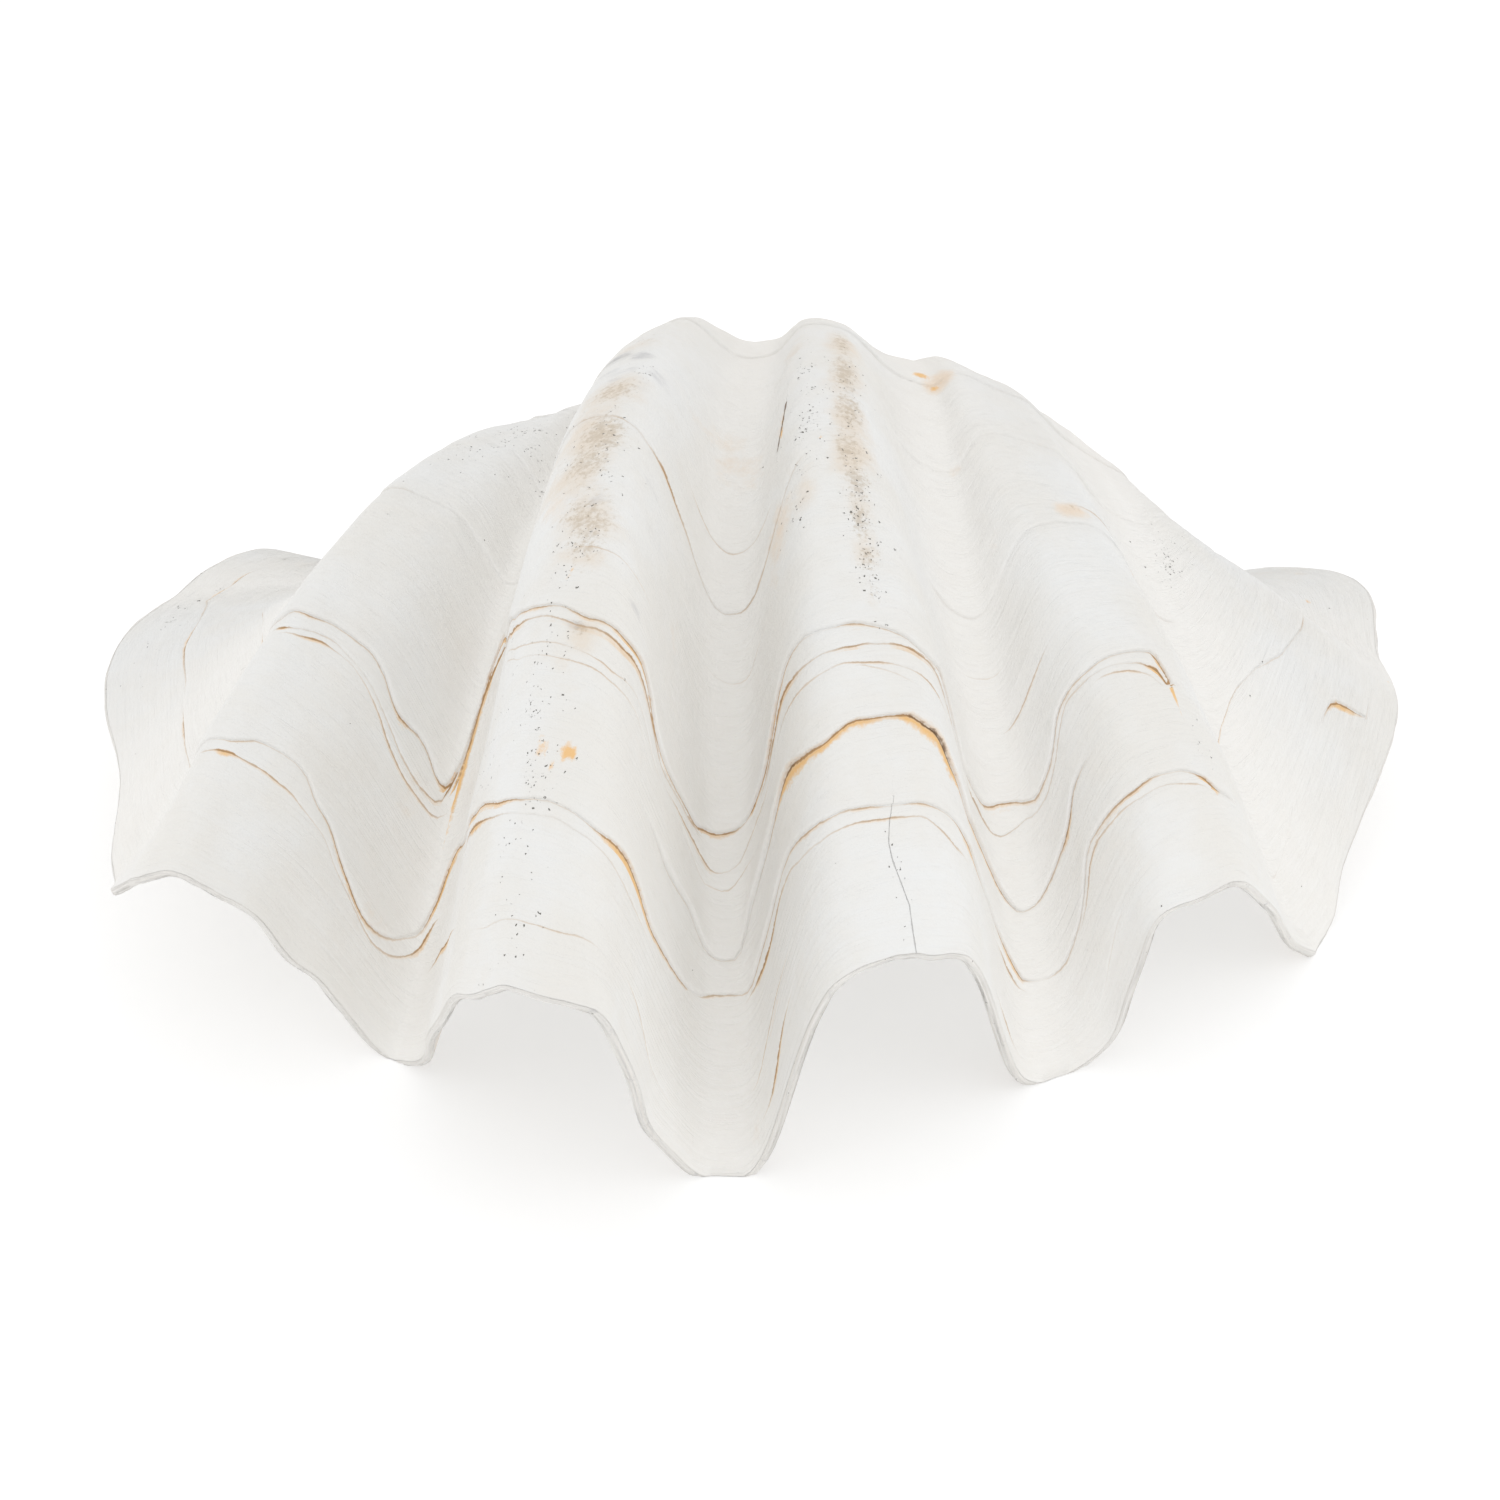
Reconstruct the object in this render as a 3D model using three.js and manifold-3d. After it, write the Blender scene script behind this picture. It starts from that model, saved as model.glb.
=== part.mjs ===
// Giant clam shell: one half, lying mouth down. Lengths in millimetres, ages in radians.
// The shell is grown, not carved: the outer face is the present margin, turned and shrunk
// towards the beak. "age" is how far back a growth line lies, 0 being the margin itself.
// "place" runs along the margin: 0 at the left end of the hinge, 16 at its right end.
import * as THREE from "three";
import Module from "manifold-3d";
import { mergeVertices } from "three/addons/utils/BufferGeometryUtils.js";

const PLACES = 16;

// Growth of the outer face
const BEAK = { x: -6, y: 81, z: 16 };
const BEAK_LEAN = { by: 14, from: 0.6, over: 1.1 };
const OUTER_END_AGE = 2.88;
const OUTER_CURL = { from: 1.45, rate: 0.6 };
const RIB_HALF_AGE = 1.01;
const OLD_RIBS = { halfAge: 0.85, power: 3 };
const HINGE_TURN_PLACES = 2.4;

// Margin knots, left hinge end round the front to the right hinge end. Furrows and rib
// crests take turns. shrink: how fast older lines get smaller there. left and right of a
// crest: where its flank stands (share of the way from the furrow) and how steep it is.
// old: the same for the oldest growth lines, and how high the rib stands there.
const KNOTS = [
  { at: [-205, 112, 14], shrink: 0.9 },
  { at: [-243, 111, 46], shrink: 0.84, left: [0.38, 1.5], right: [0.5, 1.5] },
  { at: [-287, 60, 56], shrink: 0.78 },
  { at: [-317, -6, 52], shrink: 0.74, left: [0.5, 1.5], right: [0.68, 2.2] },
  { at: [-290, -186, 64], shrink: 0.67 },
  { at: [-252, -235, 108], shrink: 0.61, left: [0.48, 1.45], right: [0.28, 2],
    old: { left: [0.32, 1.5], right: [0.15, 3], rise: 1.07 } },
  { at: [-161, -238, -1], shrink: 0.51 },
  { at: [-97, -367, 152], shrink: 0.515, left: [0.43, 1.8], right: [0.38, 2.7],
    old: { left: [0.37, 2.4], right: [0.54, 1.6], rise: 1.14 } },
  { at: [-11, -316, -1], shrink: 0.505 },
  { at: [67, -311, 124], shrink: 0.485, left: [0.35, 2.9], right: [0.4, 2.2],
    old: { left: [0.45, 2.6], right: [0.64, 1.9], rise: 1.15 } },
  { at: [136, -252, -1], shrink: 0.43 },
  { at: [211, -219, 90], shrink: 0.42, left: [0.37, 2.6], right: [0.41, 1.6],
    old: { left: [0.17, 2.9], right: [0.66, 2.4], rise: 0.76 } },
  { at: [264, -160, -1], shrink: 0.39 },
  { at: [309, -63, 50], shrink: 0.39, left: [0.6, 2], right: [0.5, 1.5],
    old: { left: [0.33, 2.9], right: [0.37, 2.3], rise: 1.35 } },
  { at: [312, 8, 50], shrink: 0.46 },
  { at: [298, 86, 50], shrink: 0.66, left: [0.45, 1.5], right: [0.25, 2.4] },
  { at: [205, 112, 14], shrink: 0.9 },
];

// Age that the rounded lip makes up for, and shallow hollows worn into the margin: place,
// half width in places, age worn back to
const LIP_AGE = 0.0075;
const MARGIN_BITES = [
  { place: 3.5, width: 0.28, age: 0.035 },
  { place: 12.5, width: 0.3, age: 0.03 },
];

// Growth ledges: the older layer stands proud by step and thins out again over fade.
// A ledge runs over the places in span; its swings shift it to an older or younger age
// near one place.
const LEDGES = [
  { age: 0.17, step: 2.6, fade: 0.1, span: [1.8, 14.4], swings: [[8, 0.5, 0.028]] },
  { age: 0.27, step: 3.4, fade: 0.07, span: [7.9, 10.1], swings: [[8.2, 0.5, -0.03]] },
  { age: 0.392, step: 3, fade: 0.13, span: [1.8, 14.4], swings: [[12, 0.6, 0.03]] },
  { age: 0.704, step: 1.4, fade: 0.16, span: [4.4, 12.4], swings: [[8, 0.8, -0.012]] },
];
const LEDGE_RISE_AGE = 0.012;
const LEDGE_BLEND = 0.7;
const LEDGE_GROWTH = 1.6;

// Inner face: its own pole leaves room for the hinge plate. The ribs show inside only near
// the margin, and the wall gains thickness away from the rim.
const INNER_POLE = { x: 8, y: 55, z: 14 };
const INNER_END_AGE = 2.15;
const INNER_CURL = { from: 1.5, rate: 5 };
const INNER_SHRINK_EASE = 0.005;
const INNER_RIB_AGE = 0.62;
const WALL_GAIN = { by: 6, over: 0.16 };
const RIM_THICKNESS = 6;
const RIM_BULGE = 0.35;
const LIP_ACROSS = { outer: 0.22, inner: 0.78 };

// What stands lowest is worn flat by this much
const GROUND_WEAR = 3;

// Hinge plate and teeth. The plate is level over the middle of the hinge and runs out into
// the rim at the ends; both are shares of the hinge from its middle to one end.
const PLATE_Z = 10;
const PLATE_INSET = 4;
const PLATE_ENDS = { from: 0.45, over: 0.5 };
const CORNER_PLACES = 0.5;
const BYSSAL_GAPE = { share: -0.3, width: 0.09, height: 5 };
const CARDINAL_TOOTH = { at: [16, 68, 7], half: [17, 7, 9], yaw: 0.35 };
const LATERAL_TOOTH = { at: [92, 79, 7], half: [46, 6, 8], yaw: 0.2 };

// Facets: columns in each half of a rib, for the main ribs and for the ribs of the wings
const OUTER_COLUMNS = { main: 9, wing: 4 };
const INNER_COLUMNS = { main: 6, wing: 3 };
const MAIN_RIBS = { from: 4, to: 12 };
const CROWDING = 0.35;
const OUTER_ROW_GAP = 0.12;
const INNER_ROWS = 15;
const INNER_ROW_CROWDING = 1.15;
const TOOTH_FACETS = { around: 16, along: 10 };
const HALVINGS = 20;
const PROBE = 0.004;

// Shares of the way round an edge: the margin first, then each side of the hinge
const MARGIN_SHARE = 0.6;
const SIDE_SHARE = 0.2;

const SHELL_COLOUR = 0xecebe6;

const clamp = (value, low, high) => Math.min(high, Math.max(low, value));
const ease = (share) => share * share * (3 - 2 * share);

function smooth(list, position) {
  const last = list.length - 1;
  const index = clamp(Math.floor(position), 0, last - 1);
  const t = clamp(position - index, 0, 1);
  const b = list[index];
  const c = list[index + 1];
  const a = index > 0 ? list[index - 1] : 2 * b - c;
  const d = index + 2 <= last ? list[index + 2] : 2 * c - b;
  return 0.5 * (2 * b + (c - a) * t + (2 * a - 5 * b + 4 * c - d) * t * t
    + (3 * b - a - 3 * c + d) * t * t * t);
}

const FURROWS = KNOTS.filter((knot, index) => index % 2 === 0);
const FURROW_AXES = [0, 1, 2].map((axis) => FURROWS.map((knot) => knot.at[axis]));
const SHRINKS = KNOTS.map((knot) => knot.shrink);

function furrowLine(place) {
  return new THREE.Vector3(...FURROW_AXES.map((list) => smooth(list, place / 2)));
}

const RIB_HEIGHTS = KNOTS.map((knot, index) => (
  index % 2 === 1 ? new THREE.Vector3(...knot.at).sub(furrowLine(index)) : null));

const crestNear = (place) => clamp(Math.floor(place / 2) * 2 + 1, 1, PLACES - 1);

const blend = (young, old, share) => young + (old - young) * share;

// How far a growth line's ribs have gone over to their old shape
const oldShare = (age) => 1 - 1 / (1 + (age / OLD_RIBS.halfAge) ** OLD_RIBS.power);

// How far up its rib a place stands, 0 in the furrow and 1 on the crest
function riseShare(place, age = 0) {
  const knot = KNOTS[crestNear(place)];
  const side = place < crestNear(place) ? "left" : "right";
  const young = knot[side];
  const old = knot.old ? knot.old[side] : young;
  const [where, steepness] = young.map((value, index) => blend(value, old[index], oldShare(age)));
  const near = clamp(1 - Math.abs(place - crestNear(place)), 0, 1);
  const rising = near ** steepness;
  const falling = ((1 - near) * where / (1 - where)) ** steepness;
  return rising / (rising + falling);
}

// Rise of a growth line above the furrow line: each rib has its own pair of flanks
function ribRise(place, age = 0) {
  const knot = KNOTS[crestNear(place)];
  const height = blend(1, knot.old ? knot.old.rise : 1, oldShare(age));
  return RIB_HEIGHTS[crestNear(place)].clone().multiplyScalar(riseShare(place, age) * height);
}

const ribShare = (age) => 1 / (1 + (age / RIB_HALF_AGE) ** 2);

function turnShare(place) {
  const fromEnd = Math.min(place, PLACES - place) / HINGE_TURN_PLACES;
  return Math.sin(clamp(fromEnd, 0, 1) * Math.PI / 2);
}

function sizeAt(place, age, curl, easeOff = 0) {
  const curled = Math.max(0, age - curl.from);
  return Math.exp(-(smooth(SHRINKS, place) - easeOff) * age - curl.rate * curled * curled);
}

// Turns an arm about the hinge direction, shrinks it and hangs it on a pole
function swing(pole, arm, angle, size) {
  const forward = -arm.y * Math.cos(angle) - arm.z * Math.sin(angle);
  const up = -arm.y * Math.sin(angle) + arm.z * Math.cos(angle);
  return new THREE.Vector3(pole.x + size * arm.x, pole.y - size * forward, pole.z + size * up);
}

function plainOuterPoint(place, age) {
  const arm = furrowLine(place).sub(BEAK).addScaledVector(ribRise(place, age), ribShare(age));
  const size = sizeAt(place, age, OUTER_CURL);
  const point = swing(BEAK, arm, age * turnShare(place), size);
  const lean = clamp((age - BEAK_LEAN.from) / BEAK_LEAN.over, 0, 1);
  point.x += BEAK_LEAN.by * ease(lean);
  return point;
}

function alongMargin(place, age) {
  const before = plainOuterPoint(Math.max(0, place - PROBE), age);
  return plainOuterPoint(Math.min(PLACES, place + PROBE), age).sub(before).normalize();
}

function towardsBeak(place, age) {
  const before = plainOuterPoint(place, Math.max(0, age - PROBE));
  return plainOuterPoint(place, age + PROBE).sub(before).normalize();
}

function outward(place, age) {
  return alongMargin(place, age).cross(towardsBeak(place, age)).normalize();
}

function bell(place, centre, width) {
  return Math.exp(-(((place - centre) / width) ** 2));
}

function marginAge(place) {
  return MARGIN_BITES.reduce(
    (sum, bite) => sum + bite.age * bell(place, bite.place, bite.width), LIP_AGE);
}

function ledgeAge(ledge, place) {
  return ledge.age + ledge.swings.reduce(
    (sum, [centre, width, shift]) => sum + shift * bell(place, centre, width), 0);
}

function ledgeReach(ledge, place) {
  const rise = clamp((place - ledge.span[0]) / LEDGE_BLEND, 0, 1);
  const fall = clamp((ledge.span[1] - place) / LEDGE_BLEND, 0, 1);
  return ease(rise) * ease(fall);
}

function ledgeHeight(place, age) {
  return LEDGES.reduce((sum, ledge) => {
    const past = age - ledgeAge(ledge, place);
    const rise = clamp(past / LEDGE_RISE_AGE, 0, 1);
    const thinning = Math.exp(-Math.max(0, past - LEDGE_RISE_AGE) / ledge.fade);
    return sum + ledge.step * ledgeReach(ledge, place) * rise * thinning;
  }, 0);
}

function outerPoint(place, age) {
  const worn = Math.max(age, marginAge(place));
  const grown = Math.min(1, sizeAt(place, worn, OUTER_CURL) * LEDGE_GROWTH);
  const raised = ledgeHeight(place, worn) * grown;
  return plainOuterPoint(place, worn).addScaledVector(outward(place, worn), raised);
}

const innerRibShare = (age) => Math.exp(-((age / INNER_RIB_AGE) ** 2));

function innerPoint(place, age) {
  const start = marginAge(place);
  const inset = outward(place, start).multiplyScalar(-RIM_THICKNESS);
  const edge = plainOuterPoint(place, start).add(inset);
  const rise = ribRise(place).multiplyScalar(1 - innerRibShare(age));
  const arm = edge.sub(INNER_POLE).sub(rise);
  const size = sizeAt(place, age, INNER_CURL, INNER_SHRINK_EASE);
  const gain = WALL_GAIN.by * size * (1 - Math.exp(-age / WALL_GAIN.over));
  const point = swing(INNER_POLE, arm, age * turnShare(place), size);
  return point.addScaledVector(outward(place, age), -gain);
}

// Places of the columns in one half rib. They crowd where its flank is steep: each is
// found by halving, so that place and height together grow by even steps.
function halfRibPlaces(start, count) {
  const progress = (share) => (
    share * (1 - CROWDING) + Math.abs(riseShare(start + share) - riseShare(start)) * CROWDING);
  return Array.from({ length: count }, (unused, index) => {
    let low = 0;
    let high = 1;
    for (let turn = 0; turn < HALVINGS; turn += 1) {
      const middle = (low + high) / 2;
      if (progress(middle) * count < index) low = middle;
      else high = middle;
    }
    return index === 0 ? start : start + high;
  });
}

function columnPlaces(counts) {
  const starts = Array.from({ length: PLACES }, (unused, start) => start);
  const isMain = (start) => start >= MAIN_RIBS.from && start < MAIN_RIBS.to;
  const places = starts.flatMap((start) => (
    halfRibPlaces(start, isMain(start) ? counts.main : counts.wing)));
  return [...places, PLACES];
}

// Ages of the outer rows at one place: a foot and a lip for each ledge, even rows between
function outerAges(place) {
  const stops = [marginAge(place)];
  LEDGES.forEach((ledge) => {
    const foot = ledgeAge(ledge, place);
    stops.push(foot, foot + LEDGE_RISE_AGE);
  });
  stops.push(OUTER_END_AGE);
  const plain = [0];
  LEDGES.forEach((ledge) => plain.push(ledge.age, ledge.age + LEDGE_RISE_AGE));
  plain.push(OUTER_END_AGE);
  const ages = [];
  for (let stop = 0; stop + 1 < stops.length; stop += 1) {
    const pieces = Math.max(1, Math.round((plain[stop + 1] - plain[stop]) / OUTER_ROW_GAP));
    for (let piece = 0; piece < pieces; piece += 1) {
      ages.push(stops[stop] + (stops[stop + 1] - stops[stop]) * piece / pieces);
    }
  }
  ages.push(OUTER_END_AGE);
  return ages;
}

function innerAges() {
  return Array.from({ length: INNER_ROWS + 1 }, (unused, row) => (
    INNER_END_AGE * (row / INNER_ROWS) ** INNER_ROW_CROWDING));
}

// Vertex store: points in, faces as triples of vertex numbers
class Skin {
  constructor() {
    this.points = [];
    this.faces = [];
  }

  add(point) {
    const height = Math.max(0, point.z - GROUND_WEAR);
    this.points.push(new THREE.Vector3(point.x, point.y, height));
    return this.points.length - 1;
  }

  quad(a, b, c, d) {
    this.faces.push([a, b, c], [a, c, d]);
  }
}

// One face of the shell as rows of vertex numbers, closed at the pole by a fan
function grid(skin, places, agesAt, pointAt, pole, facingOut) {
  const columns = places.map((place) => agesAt(place).map((age) => skin.add(pointAt(place, age))));
  const tip = skin.add(pole);
  for (let column = 0; column + 1 < columns.length; column += 1) {
    const left = columns[column];
    const right = columns[column + 1];
    for (let row = 0; row + 1 < left.length; row += 1) {
      const corners = [left[row], right[row], right[row + 1], left[row + 1]];
      skin.quad(...(facingOut ? corners : corners.reverse()));
    }
    const end = left.length - 1;
    skin.faces.push(facingOut ? [left[end], right[end], tip] : [right[end], left[end], tip]);
  }
  return { columns, tip };
}

// Closed edge of a face: along the margin, in along the right hinge side, out on the left.
// mark tells how far round the edge a vertex lies, so that two edges can be joined.
function edgeLoop(face, places, agesAt, sizeOf) {
  const { columns, tip } = face;
  const loop = columns.map((column, index) => ({
    vertex: column[0],
    place: places[index],
    inward: 0,
    mark: MARGIN_SHARE * places[index] / PLACES,
  }));
  const ages = agesAt(PLACES);
  const sideMark = (age) => SIDE_SHARE * (1 - sizeOf(age));
  for (let row = 1; row < ages.length; row += 1) {
    loop.push({ vertex: columns[columns.length - 1][row], place: PLACES,
      inward: 1 - sizeOf(ages[row]), mark: MARGIN_SHARE + sideMark(ages[row]) });
  }
  loop.push({ vertex: tip, place: null, inward: 1, mark: 1 - SIDE_SHARE });
  for (let row = ages.length - 1; row >= 1; row -= 1) {
    loop.push({ vertex: columns[0][row], place: 0,
      inward: 1 - sizeOf(ages[row]), mark: 1 - sideMark(ages[row]) });
  }
  return loop;
}

// Height of the underside of the hinge plate; share is -1 and 1 at the hinge ends
function plateHeight(share, edgeHeight) {
  const gape = BYSSAL_GAPE.height * bell(share, BYSSAL_GAPE.share, BYSSAL_GAPE.width);
  const ends = ease(clamp((Math.abs(share) - PLATE_ENDS.from) / PLATE_ENDS.over, 0, 1));
  return (PLATE_Z + gape) * (1 - ends) + (edgeHeight - RIM_BULGE * RIM_THICKNESS) * ends;
}

// Edge of the hinge plate's underside, near its back or near the hollow
function platePoint(stop, start, nearBack) {
  const share = Math.sign(start.x - BEAK.x - BEAK_LEAN.by) * (1 - stop.inward);
  const plateDepth = (INNER_POLE.y - BEAK.y) * stop.inward - RIM_THICKNESS * (1 - stop.inward);
  const y = nearBack ? start.y - PLATE_INSET : start.y + plateDepth + PLATE_INSET;
  return new THREE.Vector3(start.x, y, plateHeight(share, start.z));
}

// Point on the rounded lip of the margin. Near the hinge the lip turns to face down.
function lipPoint(stop, start, across) {
  const age = marginAge(stop.place);
  const fromEnd = Math.min(stop.place, PLACES - stop.place);
  const corner = 1 - ease(clamp(fromEnd / CORNER_PLACES, 0, 1));
  const beyond = towardsBeak(stop.place, age).multiplyScalar(corner - 1);
  beyond.add(new THREE.Vector3(0, 0, -corner)).normalize();
  return start.clone()
    .addScaledVector(outward(stop.place, age), -RIM_THICKNESS * across)
    .addScaledVector(beyond, RIM_THICKNESS * RIM_BULGE);
}

// Rim of the shell: a rounded lip along the margin, the flat hinge plate along the back
function rimRing(skin, outerLoop, across) {
  return outerLoop.map((stop) => {
    const start = skin.points[stop.vertex].clone();
    start.z += GROUND_WEAR;
    const point = stop.inward > 0
      ? platePoint(stop, start, across === LIP_ACROSS.outer)
      : lipPoint(stop, start, across);
    return { ...stop, vertex: skin.add(point) };
  });
}

// Joins two closed edges of any vertex counts by walking both at the same pace
function joinLoops(skin, first, second) {
  let a = 0;
  let b = 0;
  while (a < first.length || b < second.length) {
    const nextA = a + 1 < first.length ? first[a + 1].mark : 1 + (a + 1 - first.length);
    const nextB = b + 1 < second.length ? second[b + 1].mark : 1 + (b + 1 - second.length);
    const here = first[a % first.length].vertex;
    const there = second[b % second.length].vertex;
    if (b >= second.length || (a < first.length && nextA <= nextB)) {
      a += 1;
      skin.faces.push([here, there, first[a % first.length].vertex]);
    } else {
      b += 1;
      skin.faces.push([here, there, second[b % second.length].vertex]);
    }
  }
}

function valveSkin() {
  const skin = new Skin();
  const outerAt = columnPlaces(OUTER_COLUMNS);
  const innerAt = columnPlaces(INNER_COLUMNS);
  const beakTip = { ...BEAK, x: BEAK.x + BEAK_LEAN.by };
  const outer = grid(skin, outerAt, outerAges, outerPoint, beakTip, true);
  const inner = grid(skin, innerAt, innerAges, innerPoint, INNER_POLE, false);
  const outerLoop = edgeLoop(outer, outerAt, outerAges, (age) => sizeAt(0, age, OUTER_CURL));
  const innerLoop = edgeLoop(inner, innerAt, innerAges,
    (age) => sizeAt(0, age, INNER_CURL, INNER_SHRINK_EASE));
  const lipOut = rimRing(skin, outerLoop, LIP_ACROSS.outer);
  const lipIn = rimRing(skin, outerLoop, LIP_ACROSS.inner);
  joinLoops(skin, outerLoop, lipOut);
  joinLoops(skin, lipOut, lipIn);
  joinLoops(skin, lipIn, innerLoop);
  return skin;
}

function skinGeometry(skin) {
  const geometry = new THREE.BufferGeometry();
  const numbers = skin.points.flatMap((point) => point.toArray());
  geometry.setAttribute("position", new THREE.Float32BufferAttribute(numbers, 3));
  geometry.setIndex(skin.faces.flat());
  return geometry;
}

// A hinge tooth: a stretched round ridge, worn flat where it meets the ground
function toothGeometry(tooth) {
  const geometry = new THREE.SphereGeometry(1, TOOTH_FACETS.around, TOOTH_FACETS.along);
  geometry.scale(...tooth.half);
  geometry.rotateZ(tooth.yaw);
  geometry.translate(tooth.at[0], tooth.at[1], tooth.at[2] - GROUND_WEAR);
  const position = geometry.attributes.position;
  for (let index = 0; index < position.count; index += 1) {
    position.setZ(index, Math.max(0, position.getZ(index)));
  }
  return geometry;
}

function toSolid(wasm, geometry) {
  const bare = geometry.clone();
  bare.deleteAttribute("normal");
  bare.deleteAttribute("uv");
  const merged = mergeVertices(bare, 0.001);
  const mesh = new wasm.Mesh({
    numProp: 3,
    vertProperties: new Float32Array(merged.attributes.position.array),
    triVerts: new Uint32Array(merged.index.array),
  });
  return new wasm.Manifold(mesh);
}

function fromSolid(solid) {
  const mesh = solid.getMesh();
  const geometry = new THREE.BufferGeometry();
  geometry.setAttribute("position", new THREE.Float32BufferAttribute(mesh.vertProperties, 3));
  geometry.setIndex([...mesh.triVerts]);
  return geometry;
}

// Puts the middle of the plan over the origin; the ground is already at height 0
function centreOnPlan(geometry) {
  geometry.computeBoundingBox();
  const middle = geometry.boundingBox.getCenter(new THREE.Vector3());
  geometry.translate(-middle.x, -middle.y, 0);
  geometry.computeVertexNormals();
  return geometry;
}

async function valveMesh() {
  const wasm = await Module();
  wasm.setup();
  const teeth = [CARDINAL_TOOTH, LATERAL_TOOTH].map((tooth) => toSolid(wasm, toothGeometry(tooth)));
  const shell = teeth.reduce((sum, tooth) => sum.add(tooth), toSolid(wasm, skinGeometry(valveSkin())));
  const material = new THREE.MeshStandardMaterial({
    color: SHELL_COLOUR, roughness: 0.55, metalness: 0,
  });
  const mesh = new THREE.Mesh(centreOnPlan(fromSolid(shell)), material);
  mesh.name = "valve";
  return mesh;
}

const part = new THREE.Group();
part.name = "giant_clam_shell";
part.add(await valveMesh());

export default part;
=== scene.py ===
"""Giant clam shell: one half, lying mouth down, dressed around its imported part.

The surface is grown, not carved, so every point has two numbers. "place" runs along the
margin, 0 at the left end of the hinge and 16 at its right end, with furrows at even
places and rib crests at odd ones. "age" is how far back a growth line lies, as an angle
in radians about the hinge, 0 at the margin. Lengths are in metres.
"""
from math import cos, radians, sin
from typing import NamedTuple

import bpy
import numpy as np
from bpy.props import FloatProperty, FloatVectorProperty, PointerProperty
from bpy.types import Operator, Panel, PropertyGroup
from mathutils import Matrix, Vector


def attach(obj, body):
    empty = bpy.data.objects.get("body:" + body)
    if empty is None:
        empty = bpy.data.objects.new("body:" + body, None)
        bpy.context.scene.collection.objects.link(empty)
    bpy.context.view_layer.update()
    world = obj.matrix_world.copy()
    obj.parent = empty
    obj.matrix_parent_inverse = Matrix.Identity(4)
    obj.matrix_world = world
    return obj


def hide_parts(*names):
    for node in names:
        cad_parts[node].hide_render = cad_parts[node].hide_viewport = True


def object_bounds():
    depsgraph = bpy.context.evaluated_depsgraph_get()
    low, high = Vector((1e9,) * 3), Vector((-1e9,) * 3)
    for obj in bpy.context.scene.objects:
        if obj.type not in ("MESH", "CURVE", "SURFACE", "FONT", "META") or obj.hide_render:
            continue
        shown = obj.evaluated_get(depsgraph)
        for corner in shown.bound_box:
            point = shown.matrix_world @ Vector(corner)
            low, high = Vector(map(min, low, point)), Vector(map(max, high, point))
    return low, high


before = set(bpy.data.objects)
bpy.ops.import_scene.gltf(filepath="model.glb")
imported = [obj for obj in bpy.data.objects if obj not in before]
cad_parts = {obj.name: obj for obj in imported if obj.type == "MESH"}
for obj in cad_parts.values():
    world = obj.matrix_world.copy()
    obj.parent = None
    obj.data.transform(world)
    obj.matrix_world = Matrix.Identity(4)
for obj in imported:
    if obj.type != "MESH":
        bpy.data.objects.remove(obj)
CAD_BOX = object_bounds()

bl_info = {
    "name": "Giant clam shell",
    "version": (1, 0, 0),
    "blender": (4, 5, 0),
    "location": "3D View > Sidebar > Clam Shell",
    "description": "Builds a giant clam valve from its growth, with its studio",
    "category": "Object",
}

PLACES = 16
AGE_SPAN = 3

# Growth of the outer face
BEAK = np.array([-0.006, 0.081, 0.016])
BEAK_LEAN = {"by": 0.014, "from": 0.6, "over": 1.1}
OUTER_END_AGE = 2.88
OUTER_CURL = {"from": 1.45, "rate": 0.6}
RIB_HALF_AGE = 1.01
OLD_RIBS = {"half_age": 0.85, "power": 3}
HINGE_TURN_PLACES = 2.4

# Margin knots, left hinge end round the front to the right hinge end: x, y, z, and how
# fast older lines get smaller there. Furrows and rib crests take turns.
KNOTS = np.array([
    [-0.205, 0.112, 0.014, 0.900],
    [-0.243, 0.111, 0.046, 0.840],
    [-0.287, 0.060, 0.056, 0.780],
    [-0.317, -0.006, 0.052, 0.740],
    [-0.290, -0.186, 0.064, 0.670],
    [-0.252, -0.235, 0.108, 0.610],
    [-0.161, -0.238, -0.001, 0.510],
    [-0.097, -0.367, 0.152, 0.515],
    [-0.011, -0.316, -0.001, 0.505],
    [0.067, -0.311, 0.124, 0.485],
    [0.136, -0.252, -0.001, 0.430],
    [0.211, -0.219, 0.090, 0.420],
    [0.264, -0.160, -0.001, 0.390],
    [0.309, -0.063, 0.050, 0.390],
    [0.312, 0.008, 0.050, 0.460],
    [0.298, 0.086, 0.050, 0.660],
    [0.205, 0.112, 0.014, 0.900],
])

# Flanks of each rib: where the left flank stands (share of the way from the furrow) and
# how steep it is, then the same for the right flank
FLANKS = np.array([
    [0.38, 1.5, 0.50, 1.5],
    [0.50, 1.5, 0.68, 2.2],
    [0.48, 1.45, 0.28, 2.0],
    [0.43, 1.8, 0.38, 2.7],
    [0.35, 2.9, 0.40, 2.2],
    [0.37, 2.6, 0.41, 1.6],
    [0.60, 2.0, 0.50, 1.5],
    [0.45, 1.5, 0.25, 2.4],
])

# The same for old growth lines, and how high the old rib stands against the law above
OLD_FLANKS = np.array([
    [0.38, 1.5, 0.50, 1.5, 1.00],
    [0.50, 1.5, 0.68, 2.2, 1.00],
    [0.32, 1.5, 0.15, 3.0, 1.07],
    [0.37, 2.4, 0.54, 1.6, 1.14],
    [0.45, 2.6, 0.64, 1.9, 1.15],
    [0.17, 2.9, 0.66, 2.4, 0.76],
    [0.33, 2.9, 0.37, 2.3, 1.35],
    [0.45, 1.5, 0.25, 2.4, 1.00],
])

# Age that the rounded lip makes up for, shallow hollows worn into the margin (place, half
# width in places, age worn back to) and fine chance wear
LIP_AGE = 0.0075
MARGIN_BITES = ((3.5, 0.28, 0.035), (12.5, 0.3, 0.03))
MARGIN_WEAR = 0.002

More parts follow.
